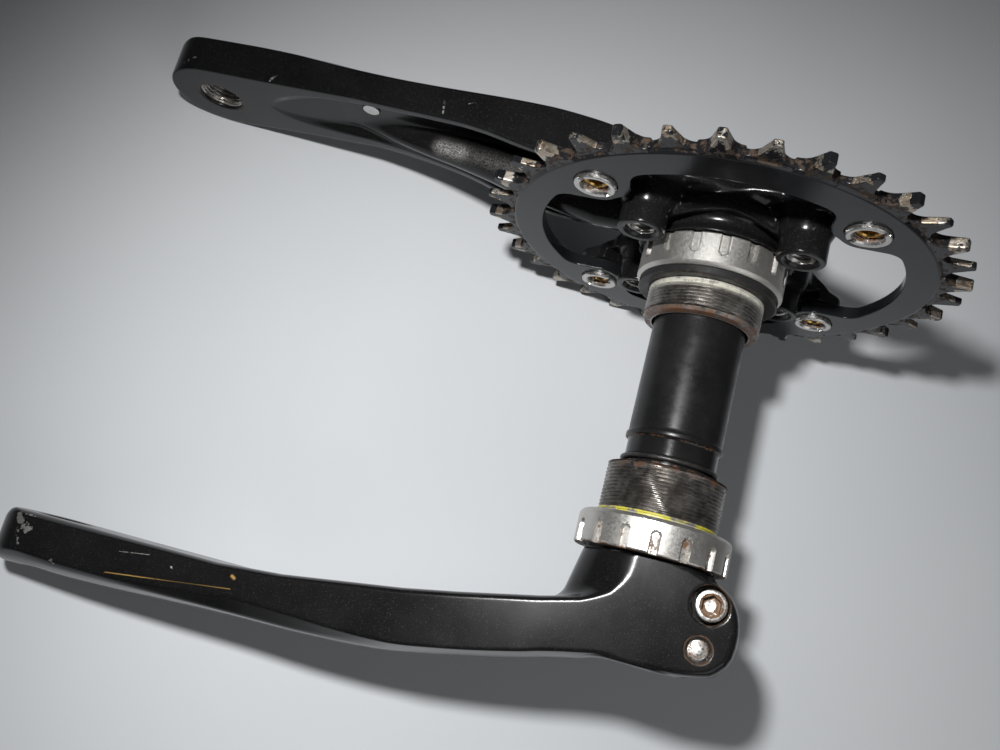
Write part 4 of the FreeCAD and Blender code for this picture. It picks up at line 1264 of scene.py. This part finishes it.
def tooth_outline():
    """One tooth, radius against distance across, closed well inside the rim."""
    seat, half, base = math.radians(54), STEP / 2, 58.0

    def flank(side):
        """Root arc from the gap's middle to the flank, then half of the tip."""
        points = []
        for k in range(9):
            cos, sin = math.cos(seat * k / 8), math.sin(seat * k / 8)
            inward = -math.cos(half) * cos + math.sin(half) * sin
            sideways = -math.sin(half) * side * cos + -math.cos(half) * side * sin
            points.append((PITCH_R * math.cos(half) + SEAT_R * inward,
                           PITCH_R * math.sin(half) * side + SEAT_R * sideways))
        return points + [(TIP_R - 1.4, 1.50 * side), (TIP_R - 0.40, 1.28 * side),
                         (TIP_R, 0.85 * side)]

    return ([(base, -base * math.tan(half))] + flank(-1) + flank(1)[::-1]
            + [(base, base * math.tan(half))])


TOOTH = tooth_outline()


def nearest_tooth(angle):
    """Number of the nearest tooth and the angle from its middle."""
    angle = angle - PHASE
    number = np.round(angle / STEP)
    return number, angle - number * STEP


def is_odd(number):
    return (number.astype(np.int64) % 2) != 0


def chainring_field(X, Y, Z):
    depth = np.abs(Y - RING_MID)
    radius = dist(X, Z)
    number, offset = nearest_tooth(np.arctan2(Z, X))
    odd = is_odd(number)
    along_tooth = radius * np.cos(offset)
    outline = polygon_distance(along_tooth, radius * np.sin(offset), TOOTH)
    outline = np.where(along_tooth < 60.0, radius - 64.9, outline)
    # narrow and wide teeth take turns, both tapering outwards
    taper = np.where(odd, 0.012, 0.045) * np.clip(radius - 66.0, 0, 9)
    teeth = meet(outline, depth - (np.where(odd, 1.05, 1.80) - taper), 0.35)
    plate = meet(radius - 64.0, depth - 2.0, 0.2)
    plate = meet(plate, (radius - 63.2 + depth - 2.0) * 0.707, 0.2)
    # the opening: a round middle with one wide slot across and one up and down
    level = meet(np.abs(Z) - 27.0, radius - 54.5, 3.4)
    upright_slot = meet(np.abs(X) - 27.0, radius - 52.5, 3.4)
    opening = join(join(radius - 43.0, level, 2.4), upright_slot, 2.4)
    along, across = fold(X, Z)
    bolt = dist(along - BOLT_R, across)
    opening = np.minimum(opening, bolt - 5.08)
    opening = np.minimum(opening, np.maximum(bolt - 6.2, RING_Y1 - 0.8 - Y))
    return carve(np.minimum(plate, teeth), opening, 0.22)


def scatter(number, rate, shift, scale):
    """Repeatable pseudo-random value from 0 to 1 for each tooth."""
    value = np.sin(number * rate + shift) * scale
    return value - np.floor(value)


def ring_bare(points):
    """Wear on the tips and flanks, different for each tooth."""
    radius, angle = polar(points)
    number, offset = nearest_tooth(angle)
    luck = scatter(number, 12.9898, 4.1, 43758.5453)
    spared = scatter(number, 78.233, 1.7, 9631.1237) > 0.62
    bare = np.clip((radius - 66.6) / 1.8, 0, 1) * np.where(is_odd(number), 0.44, 0.68)
    bare = bare * (0.72 + 0.5 * luck)
    flank = ((np.abs(offset * radius) > 1.1) & (np.abs(points[:, 1] - RING_MID) < 1.0)
             & (radius > 66.0))
    bare = np.maximum(bare, np.where(flank, 0.60, 0))
    bare = np.where(radius > 71.4, 0.25 + 0.35 * luck, bare)
    return np.where((radius > 70.2) & spared, 0.08, bare)


def ring_grime(points):
    """Dirt at the tooth roots and round the bolt holes."""
    radius, _ = polar(points)
    grime = np.where((radius > 63.6) & (radius < 67.6), 0.66, 0.0)
    teeth = 0.44 - 0.04 * np.clip(radius - 66, 0, 6)
    grime = np.maximum(grime, np.where(radius > 66.5, teeth, 0.0))
    for angle in DIAGONALS:
        hole = np.hypot(points[:, 0] - BOLT_R * math.cos(angle),
                        points[:, 2] - BOLT_R * math.sin(angle))
        grime = np.maximum(grime, np.where((hole > 6.3) & (hole < 7.4), 0.4, 0))
    return grime


place_field("chainring body", chainring_field, low=(-72.4, RING_Y0, -72.4),
            high=(72.4, RING_Y1, 72.4), voxel=0.36 if QUICK else 0.25, material=RING,
            slot="ring_black", replaces=["chainring"], target=190000,
            attrs={"bare": ring_bare, "grime": ring_grime})


# ------------------------------------------------------------------ chainring fasteners
def nut_shape(radius, y, angle, tag):
    """Driver slot across the face, and the inside thread."""
    face = (tag == "face") | (tag == "lip")
    y = np.where((np.abs(radius * np.sin(angle)) < 0.85) & face, y - 0.85, y)
    return tapped(root=3.98, depth=0.30, pitch=0.75)(radius, y, angle, tag)


def nut_grime(points):
    along, across = fold(points[:, 0], points[:, 2])
    hole = np.hypot(along - BOLT_R, across)
    return np.where(hole < 4.1, 0.74, np.where(points[:, 1] < -48.0, 0.60, 0.10))


NUT_PATH = [
    (3.98, -50.6, "thread"), (3.98, -48.2), (4.15, -47.95), (4.45, -47.60, "face"),
    (5.55, -47.43, "face"), (5.85, -47.55, "lip"), (6.05, -47.85), (6.05, -49.3),
    (5.0, -49.34), (5.0, -55.2), (4.16, -55.2), (4.16, -50.7)]
part = turned(NUT_PATH, 128, {"thread": 0.10, "face": 0.22, "lip": 0.2}, nut_shape)
place("chainring nuts", raw_mesh("nuts", *at_diagonals(part, BOLT_R)), "crank", STEEL,
      "bolt_steel", ["chainring_nuts"], 32, {"grime": nut_grime})

RING_BOLT_PATH = [
    (2.3, -49.65), (2.6, -49.25), (3.35, -49.2), (3.62, -49.45), (3.62, -50.7), (3.93, -50.9),
    (3.93, -55.95), (6.4, -55.97), (6.58, -56.2), (6.58, -57.1), (6.1, -57.5), (3.15, -57.5),
    (2.9, -57.2, "hex"), (2.9, -53.5, "hex"), (2.4, -53.4)]
part = turned(RING_BOLT_PATH, 96, shape=hex_socket)
place("chainring bolts", raw_mesh("ringbolts", *at_diagonals(part, BOLT_R)), "crank", BRONZE,
      "bolt_bronze", ["chainring_bolts"], 32,
      {"grime": lambda points: np.where(points[:, 1] > -51, 0.16, 0.38)})

# threads cut in the four inner bosses
part = turned([(3.97, -55.8, "thread"), (3.97, -44.6), (4.30, -44.9), (4.30, -55.9)], 80,
              {"thread": 0.16}, tapped(root=3.97, depth=0.62, pitch=1.25))
place("inner boss threads", raw_mesh("bossthreads", *at_diagonals(part, BOSS_R)), "crank",
      THREADS, "arm_black", angle=60,
      attrs={"grime": lambda points: np.clip((-points[:, 1] - 46) / 9, 0, 1) * 0.7})

# threads cut in the pedal holes
for name, y0, y1 in (("right pedal thread", -87.2, -73.4), ("left pedal thread", 77.8, 92.0)):
    part = turned([(7.12, y0, "thread"), (7.12, y1), (7.5, y1 - 0.4), (7.5, y0 + 0.4)], 144,
                  {"thread": 0.14}, tapped(root=7.12, depth=0.72, pitch=1.27), x=CRANK)
    place(name, raw_mesh(name, *part), "crank", THREADS, "arm_black", angle=60,
          attrs={"grime": 0.50})

# ------------------------------------------------------------------ bottom bracket cups
NOTCHES, NOTCH_WIDTH, NOTCH_DEPTH, NOTCH_LENGTH = 16, 3.0, 1.3, 6.4
FLANGE_R = 22.0
CUP_THREAD_R, CUP_PITCH, CUP_DEPTH = 17.4, 1.058, 0.60


def cup(name, node, face, inner, relief, end, body_end, phase, hand, side):
    """Notched flange and threaded sleeve.

    The y values run from the flange's face and inner side past the thread's relief to its
    far end; body_end closes the bearing seat. side is +1 if the thread points to +Y.
    """
    drive = side > 0
    tail = end - side * (1.5 if drive else 0.35)
    # dirt: on the face, at its rim with a fading width, in the notches, at the inner side
    on_face, at_rim, rim_width, in_notch, at_back, back_width = (
        (0.30, 0.40, 0.8, 0.22, 0.30, 1.2) if drive else (0.62, 0.78, 1.3, 0.40, 0.34, 1.5))

    def from_notch(angle):
        turns = (angle - math.radians(phase)) * NOTCHES / (2 * math.pi)
        return (turns - np.round(turns)) * (2 * math.pi / NOTCHES) * FLANGE_R

    def shape(radius, y, angle, tag):
        past = np.maximum(np.abs(y - face) - (NOTCH_LENGTH - NOTCH_WIDTH / 2), 0)
        gap = np.hypot(from_notch(angle), past) - NOTCH_WIDTH / 2
        notched = np.minimum(radius, FLANGE_R - NOTCH_DEPTH * np.clip(-gap / 0.30, 0, 1))
        radius = np.where((tag == "rim") | (tag == "edge"), notched, radius)
        tail_fade = np.clip(np.abs(y - tail), 0, 1)
        start_fade = np.clip(np.abs(y - relief) / 0.8, 0, 1)
        groove = CUP_DEPTH * ridge(y, angle, CUP_PITCH, 0.10, hand) * start_fade
        cut = CUP_THREAD_R - 0.02 - groove - 0.55 * (1 - tail_fade)
        return np.where(tag == "thread", cut, radius), y

    path = [
        (18.62, face + side * 0.05, "edge"), (21.2, face, "edge"),
        (21.75, face + side * 0.12, "edge"), (FLANGE_R, face + side * 0.5, "rim"),
        (FLANGE_R, inner - side * 1.1), (21.6, inner - side * 0.45), (21.0, inner),
        (17.0, inner), (17.0, relief), (CUP_THREAD_R, relief, "thread"), (CUP_THREAD_R, tail),
        (CUP_THREAD_R - (0.55 if drive else 1.2), end - side * (0.5 if drive else 0.1)),
        (15.2, end), (14.6, end), (14.6, body_end), (18.52, body_end),
        (18.52, face + side * 0.2)]
    steps = {"rim": 0.40, "edge": 0.6, "thread": 0.132, "plain": 3.0}
    part = turned(path, 400 if QUICK else 640, steps, shape)

    def thread(points):
        radius, _ = polar(points)
        y = points[:, 1]
        return np.where((radius < 17.6) & (radius > 14.9) & (side * (y - relief) > -0.1)
                        & (side * (end - y) > -0.2), 1.0, 0.0)

    def grime(points):
        radius, angle = polar(points)
        depth = np.abs(points[:, 1] - face)
        uneven = 1.0 if drive else 0.80 + 0.2 * np.cos(angle - math.radians(60))
        notch = (np.abs(from_notch(angle)) < 1.4) & (radius < 21.6) & (depth < 6.6)
        dirt = np.where(radius < 21.0, on_face, 0.0) * (depth < 8)
        dirt = np.maximum(dirt, near(depth, rim_width) * at_rim * uneven)
        dirt = np.maximum(dirt, np.where(notch, in_notch, 0))
        return np.maximum(dirt, at_back * near(np.abs(points[:, 1] - inner), back_width))

    def rust(points):
        depth = np.abs(points[:, 1] - end)
        if drive:
            return np.clip(1.05 - depth / 4.4, 0, 1) * 0.85
        return 0.30 + 0.35 * near(depth, 4.0)

    def sealant(points):
        radius, _ = polar(points)
        band = np.clip(1.2 - np.abs(side * (points[:, 1] - relief) - 0.9) / 1.35, 0, 1)
        return np.where((radius < 17.7) & (radius > 15.0), band, 0)

    def yellow(points):
        radius, _ = polar(points)
        return np.where((radius < 17.7) & (radius > 15.0) & (points[:, 1] > relief - 0.55), 1.0, 0)

    place(name, raw_mesh(name, *part), "bottom_bracket", CUP, "cup_alloy", [node], 30,
          {"thread": thread, "grime": grime, "rust": rust, "sealant": sealant if drive else 0,
           "yellow": 0 if drive else yellow})


cup("drive side cup", "drive_cup", face=-47.9, inner=-37.8, relief=-35.3, end=-25.1,
    body_end=-39.9, phase=94.0, hand=-1, side=1)
cup("left side cup", "left_cup", face=45.1, inner=35.3, relief=34.3, end=19.9,
    body_end=37.1, phase=90.6, hand=1, side=-1)

# ------------------------------------------------------------------ spacer, sleeve, rings
SPACER_PATH = [(17.5, -37.76), (20.6, -37.76), (20.95, -37.45), (20.95, -35.65),
               (20.6, -35.32), (17.9, -35.32), (17.5, -35.5)]
part = turned(SPACER_PATH, 256)
place("cup spacer ring", raw_mesh("spacer", *part), "bottom_bracket", PLAIN_PLASTIC,
      "black_plastic", ["cup_spacer"], 30,
      {"grime": lambda points: np.where(np.abs(points[:, 1] + 35.5) < 0.6, 0.42, 0.15),
       "grease": 0})


def sleeve_shape(radius, y, angle, tag):
    """Moulding seam along two opposite sides."""
    gap = np.minimum(np.abs(angle - 2.2), np.abs(angle - 2.2 - math.pi)) * 13.8
    seam = np.exp(-(gap / 0.22) ** 2) * 0.05
    return np.where((tag == "tube") | (tag == "neck"), radius + seam, radius), y


SLEEVE_PATH = [
    (12.62, -32.98), (13.45, -32.98), (13.6, -32.8), (13.6, -31.4), (12.97, -31.35),
    (12.97, -29.65), (13.6, -29.6), (13.78, -27.0, "tube"), (13.8, 9.7), (13.95, 9.95),
    (14.26, 10.15), (14.3, 10.4), (14.3, 11.1), (14.2, 11.4), (13.55, 11.7),
    (13.3, 12.1, "neck"), (13.3, 16.7), (13.15, 16.88), (12.97, 16.9), (12.97, 18.7),
    (13.15, 18.72), (13.3, 18.9, "neck"), (13.3, 29.7), (13.1, 29.98), (12.62, 29.98, "inner")]
part = turned(SLEEVE_PATH, 288, {"tube": 0.8, "neck": 0.4, "inner": 2.0}, sleeve_shape)
place("centre sleeve", raw_mesh("sleeve", *part), "bottom_bracket", PLASTIC, "black_plastic",
      ["center_sleeve"], 32,
      {"grime": lambda points: np.maximum(0.62 * near(np.abs(points[:, 1] - 11.7), 0.9),
                                          0.55 * near(np.abs(points[:, 1] - 19.3), 1.2)),
       "grease": lambda points: np.clip((points[:, 1] - 11.2) / 0.6, 0, 1)})


def seal_ring(y, radius, wire):
    angles = np.linspace(0, 2 * np.pi, 25)[:-1][::-1]
    return turned([(radius + wire * math.cos(a), y + wire * math.sin(a)) for a in angles], 256)


part = join_parts([seal_ring(-30.5, 13.73, 0.74), seal_ring(17.8, 13.72, 0.73)])
place("sleeve seal rings", raw_mesh("orings", *part), "bottom_bracket", RUBBER, "black_rubber",
      ["sleeve_o_rings"], 60)

# side, sleeve's far end, disc's inner and outer faces, dirt
for side, y_in, disc, y_out, grime in (("drive", -40.2, -47.06, -47.86, 0.30),
                                       ("left", 37.4, 44.26, 45.07, 0.62)):
    name = side + " bearing cover ring"
    away = 1 if y_out > 0 else -1
    part = turned([
        (12.03, y_in), (12.47, y_in), (12.47, disc), (18.05, disc), (18.25, disc + away * 0.2),
        (18.25, y_out - away * 0.25), (18.0, y_out), (13.2, y_out), (13.0, y_out - away * 0.15),
        (12.4, y_out - away * 0.15), (12.03, y_out)], 224, {"plain": 2.0})
    place(name, raw_mesh(name, *part), "crank", PLAIN_PLASTIC, "black_plastic",
          [side + "_bearing_cover"], 30, {"grime": grime, "grease": 0})


# ------------------------------------------------------------------ clamp bolts
def clamp_bolt_shape(radius, y, angle, tag):
    """Hex socket, outside thread and knurled head."""
    radius, y = hex_socket(radius, y, angle, tag)
    start = np.clip((y + 13.0) / 0.5, 0, 1)
    cut = 2.98 - 0.50 * ridge(y, angle, 1.0) * start
    radius = np.where(tag == "thread", cut, radius)
    knurl = radius - 0.10 * (0.5 + 0.5 * np.cos(angle * 36))
    return np.where(tag == "knurl", knurl, radius), y


def bolt_grime(points):
    grime = np.full(len(points), 0.28)
    for x, y, side in CLAMP_BOLTS:
        radius = np.hypot(points[:, 0] - x, points[:, 1] - y)
        z = side * points[:, 2]
        near_bolt = radius < 5
        for zone, value in (
                ((z > 11) & (radius < 3.1), np.where(radius < 1.3, 0.34, 0.86)),
                ((z > 14.0) & (radius > 3.0), np.where(radius > 3.7, 0.04, 0.72)),
                ((z > 8) & (z < 13.2) & (radius > 4), 0.60),
                (z < -12.5, np.where(radius < 1.6, 0.40, 0.62))):
            grime = np.where(near_bolt & zone, value, grime)
    return grime


CLAMP_BOLT_PATH = [
    (0.0, 11.35, "floor"), (2.2, 11.40, "floor"), (2.9, 11.45, "hex"), (2.9, 14.1, "hex"),
    (2.95, 14.2), (3.25, 14.52), (3.75, 14.52), (4.2, 14.36), (4.34, 13.95, "knurl"),
    (4.34, 9.3), (4.1, 8.6), (3.0, 8.58, "thread"), (3.0, -12.7), (2.6, -13.15, "dome"),
    (1.3, -13.5, "dome"), (0.0, -13.58, "dome")]
verts, faces = turned_solid(
    CLAMP_BOLT_PATH, 108, {"thread": 0.14, "knurl": 0.6, "hex": 0.4, "floor": 0.7, "dome": 0.5},
    clamp_bolt_shape)
# stand each bolt along Z, the second head down
part = join_parts([
    (np.stack([x + verts[:, 0], y + side * verts[:, 2], side * verts[:, 1]], -1), faces)
    for x, y, side in CLAMP_BOLTS])
place("clamp bolts", raw_mesh("pinch", *part), "crank", STEEL, "bolt_steel", ["pinch_bolts"],
      30, {"grime": bolt_grime})

# ------------------------------------------------------------------ preload cap
CAP_HOLE_R, LOBE_R, LOBE_CENTRE = 6.6, 1.1, 7.0


def cap_shape(radius, y, angle, tag):
    """Eight round lobes around the hole."""
    angle = (angle + math.pi / 8) % (math.pi / 4) - math.pi / 8
    under = np.maximum(LOBE_R ** 2 - (LOBE_CENTRE * np.sin(angle)) ** 2, 0)
    lobe = np.where(under > 0, LOBE_CENTRE * np.cos(angle) + np.sqrt(under), CAP_HOLE_R)
    return np.where(tag == "lobe", np.maximum(lobe, CAP_HOLE_R), radius), y


CAP_PATH = [
    (6.6, 62.0), (9.2, 62.0), (9.95, 62.6, "tube"), (9.95, 71.05), (13.2, 71.06), (13.38, 71.3),
    (13.38, 72.9), (13.1, 73.35), (12.6, 73.65), (9.2, 73.68), (8.6, 73.5), (8.3, 73.0, "lobe"),
    (6.6, 72.4, "lobe"), (6.6, 66.2, "lobe"), (6.6, 66.0)]
part = turned(CAP_PATH, 256, {"tube": 1.0, "lobe": 0.8, "plain": 2.0}, cap_shape)
place("preload cap body", raw_mesh("cap", *part), "crank", PLAIN_PLASTIC, "black_plastic",
      ["preload_cap"], 28,
      {"grime": lambda points: np.where(points[:, 1] > 73, 0.12, 0.35), "grease": 0})


# ------------------------------------------------------------------ stopper plate
def plate_field(X, Y, Z):
    """Plate in the clamp slot, corners rounded to stay inside the clamp's end."""
    over_x, over_y = np.abs(X + 19.2) - 1.6, np.abs(Y - 59.75) - 5.75
    body = (np.hypot(np.maximum(over_x, 0), np.maximum(over_y, 0))
            + np.minimum(np.maximum(over_x, over_y), 0) - 4.0)
    body = meet(body, np.abs(Z) - 1.0, 0.2)
    for x, y, _ in CLAMP_BOLTS:
        body = np.maximum(body, 3.3 - np.hypot(X - x, Y - y))
    return body


place_field("stopper plate body", plate_field, low=(-26, 48.8, -1.8), high=(-12.4, 70.8, 1.8),
            voxel=0.2, material=PLAIN_PLASTIC, slot="black_plastic",
            replaces=["stopper_plate"], target=20000, attrs={"grime": 0.2, "grease": 0})

# ------------------------------------------------------------------ pieces kept from the design
KEPT = {"arm_core_plug": STEEL, "spindle": SPINDLE}
for side in ("drive", "left"):
    for piece, material in (("outer_race", BEARING), ("inner_race", BEARING),
                            ("balls", BEARING), ("cage", CAGE), ("seals", RUBBER)):
        KEPT[f"{side}_bearing_{piece}"] = material
for node, material in KEPT.items():
    materials = frame["nodes"][node].data.materials
    materials.clear()
    materials.append(material)

# ------------------------------------------------------------------ floor
FLOOR_Z = CAD_LO.z - 0.00005


def pale_board():
    """Pale board that glows to the camera far out, running into a studio backdrop."""
    mat = Mat("pale board")
    fine = mat.noise(per_mm=0.35, detail=5, rough=0.7)
    color = mat.mix(mat.patch(per_mm=0.004, rough=0.5), (0.56, 0.58, 0.60),
                    (0.60, 0.615, 0.63))
    specks = mat.patch(per_mm=0.6, rough=0.8, low=0.74, high=0.82)
    color = mat.mix(mat.mul(specks, 0.35), color, (0.25, 0.22, 0.19))
    flat = mat.new("ShaderNodeVectorMath")
    flat.operation = "MULTIPLY"
    mat.put(flat.inputs[0], mat.coord)
    flat.inputs[1].default_value = (1.0, 1.0, 0.0)
    reach = mat.new("ShaderNodeVectorMath")
    reach.operation = "LENGTH"
    mat.put(reach.inputs[0], flat.outputs[0])
    seen = mat.new("ShaderNodeLightPath").outputs["Is Camera Ray"]
    # the glow grows between 0.30 m and 0.60 m from the origin
    glow = mat.step(reach.outputs["Value"], low=0.30, high=0.60, at_high=0.46)
    mat.put(mat.shader.inputs["Emission Color"], (0.93, 0.95, 1.0))
    mat.put(mat.shader.inputs["Emission Strength"], mat.mul(seen, glow))
    rough = mat.patch(per_mm=0.012, detail=4, at_low=0.55, at_high=0.66)
    return mat.finish(color, rough, mat.bump(fine, depth=0.02, strength=0.35), spec=0.25)


grid = bmesh.new()
bmesh.ops.create_grid(grid, x_segments=24, y_segments=24, size=3.0)
mesh = bpy.data.meshes.new("floor")
grid.to_mesh(mesh)
grid.free()
floor = bpy.data.objects.new("floor", mesh)
floor.location = (0.0, 0.0, FLOOR_Z)
bpy.context.scene.collection.objects.link(floor)
mesh.materials.append(pale_board())


# ------------------------------------------------------------------ camera
def frame_direction(vector):
    return Vector(turn([vector])[0]).normalized()


# place and view axes in the crank's axes
cam_pos = Vector(to_frame([(5.0951, 67.4107, 278.4070)])[0])
right = frame_direction((-0.96069453, -0.25315992, -0.11391257))
down = frame_direction((-0.2169371, 0.94065824, -0.26096047))
forward = frame_direction((0.17321753, -0.22599143, -0.95860501))
cam_data = bpy.data.cameras.new("camera")
cam_data.lens = 34.2524
cam_data.sensor_width = 36.0
cam_data.clip_start, cam_data.clip_end = 0.01, 20.0
cam = bpy.data.objects.new("camera", cam_data)
pose = Matrix((right, -down, -forward)).transposed().to_4x4()
pose.translation = cam_pos
cam.matrix_world = pose
bpy.context.scene.collection.objects.link(cam)
bpy.context.scene.camera = cam


# ------------------------------------------------------------------ lights and world
def on_floor(right_slope, down_slope):
    """Floor point on the camera's ray with these slopes off its view line."""
    ray = (forward + right * right_slope + down * down_slope).normalized()
    return cam_pos + ray * ((FLOOR_Z - cam_pos.z) / ray.z)


def add_light(data, position, target):
    light = bpy.data.objects.new(data.name, data)
    light.location = position
    light.rotation_mode = "QUATERNION"
    light.rotation_quaternion = (target - light.location).to_track_quat("-Z", "Y")
    bpy.context.scene.collection.objects.link(light)
    return light


# small hard light beside the camera
key_data = bpy.data.lights.new("key light", "SPOT")
key_data.shadow_soft_size = 0.012
key_data.spot_size = math.radians(102)
key_data.spot_blend = 1.0
key_data.energy = 6.5
key = add_light(key_data, cam_pos - right * 0.036 - down * 0.088 - forward * 0.02,
                on_floor(right_slope=0.1576531863, down_slope=0.2890308416))
# wide soft light from the lower right of the view
fill_data = bpy.data.lights.new("fill light", "AREA")
fill_data.shape = "DISK"
fill_data.size = 0.5
fill_data.energy = 0.7
fill = add_light(fill_data, cam_pos + right * 0.25 + down * 0.45 - forward * 0.1,
                 on_floor(right_slope=0.2732655229, down_slope=0.2785206291))
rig.stage(floor, key, fill)

world = bpy.data.worlds.new("studio")
world.use_nodes = True
tree = world.node_tree
background = next(n for n in tree.nodes if n.type == "BACKGROUND")
background.inputs["Color"].default_value = (0.92, 0.95, 1.0, 1.0)
# dim as a light, bright to the camera
level = tree.nodes.new("ShaderNodeMath")
level.operation = "MULTIPLY_ADD"
tree.links.new(tree.nodes.new("ShaderNodeLightPath").outputs["Is Camera Ray"], level.inputs[0])
level.inputs[1].default_value = 0.48
level.inputs[2].default_value = 0.04
tree.links.new(level.outputs[0], background.inputs["Strength"])
bpy.context.scene.world = world
bpy.context.scene.view_settings.view_transform = "Standard"
bpy.context.scene.view_settings.look = "None"

VIS_LO, VIS_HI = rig.bounds()
with open("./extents.json", "w") as fh:
    json.dump({"cad": [list(CAD_LO), list(CAD_HI)], "visual": [list(VIS_LO), list(VIS_HI)]}, fh, indent=1)
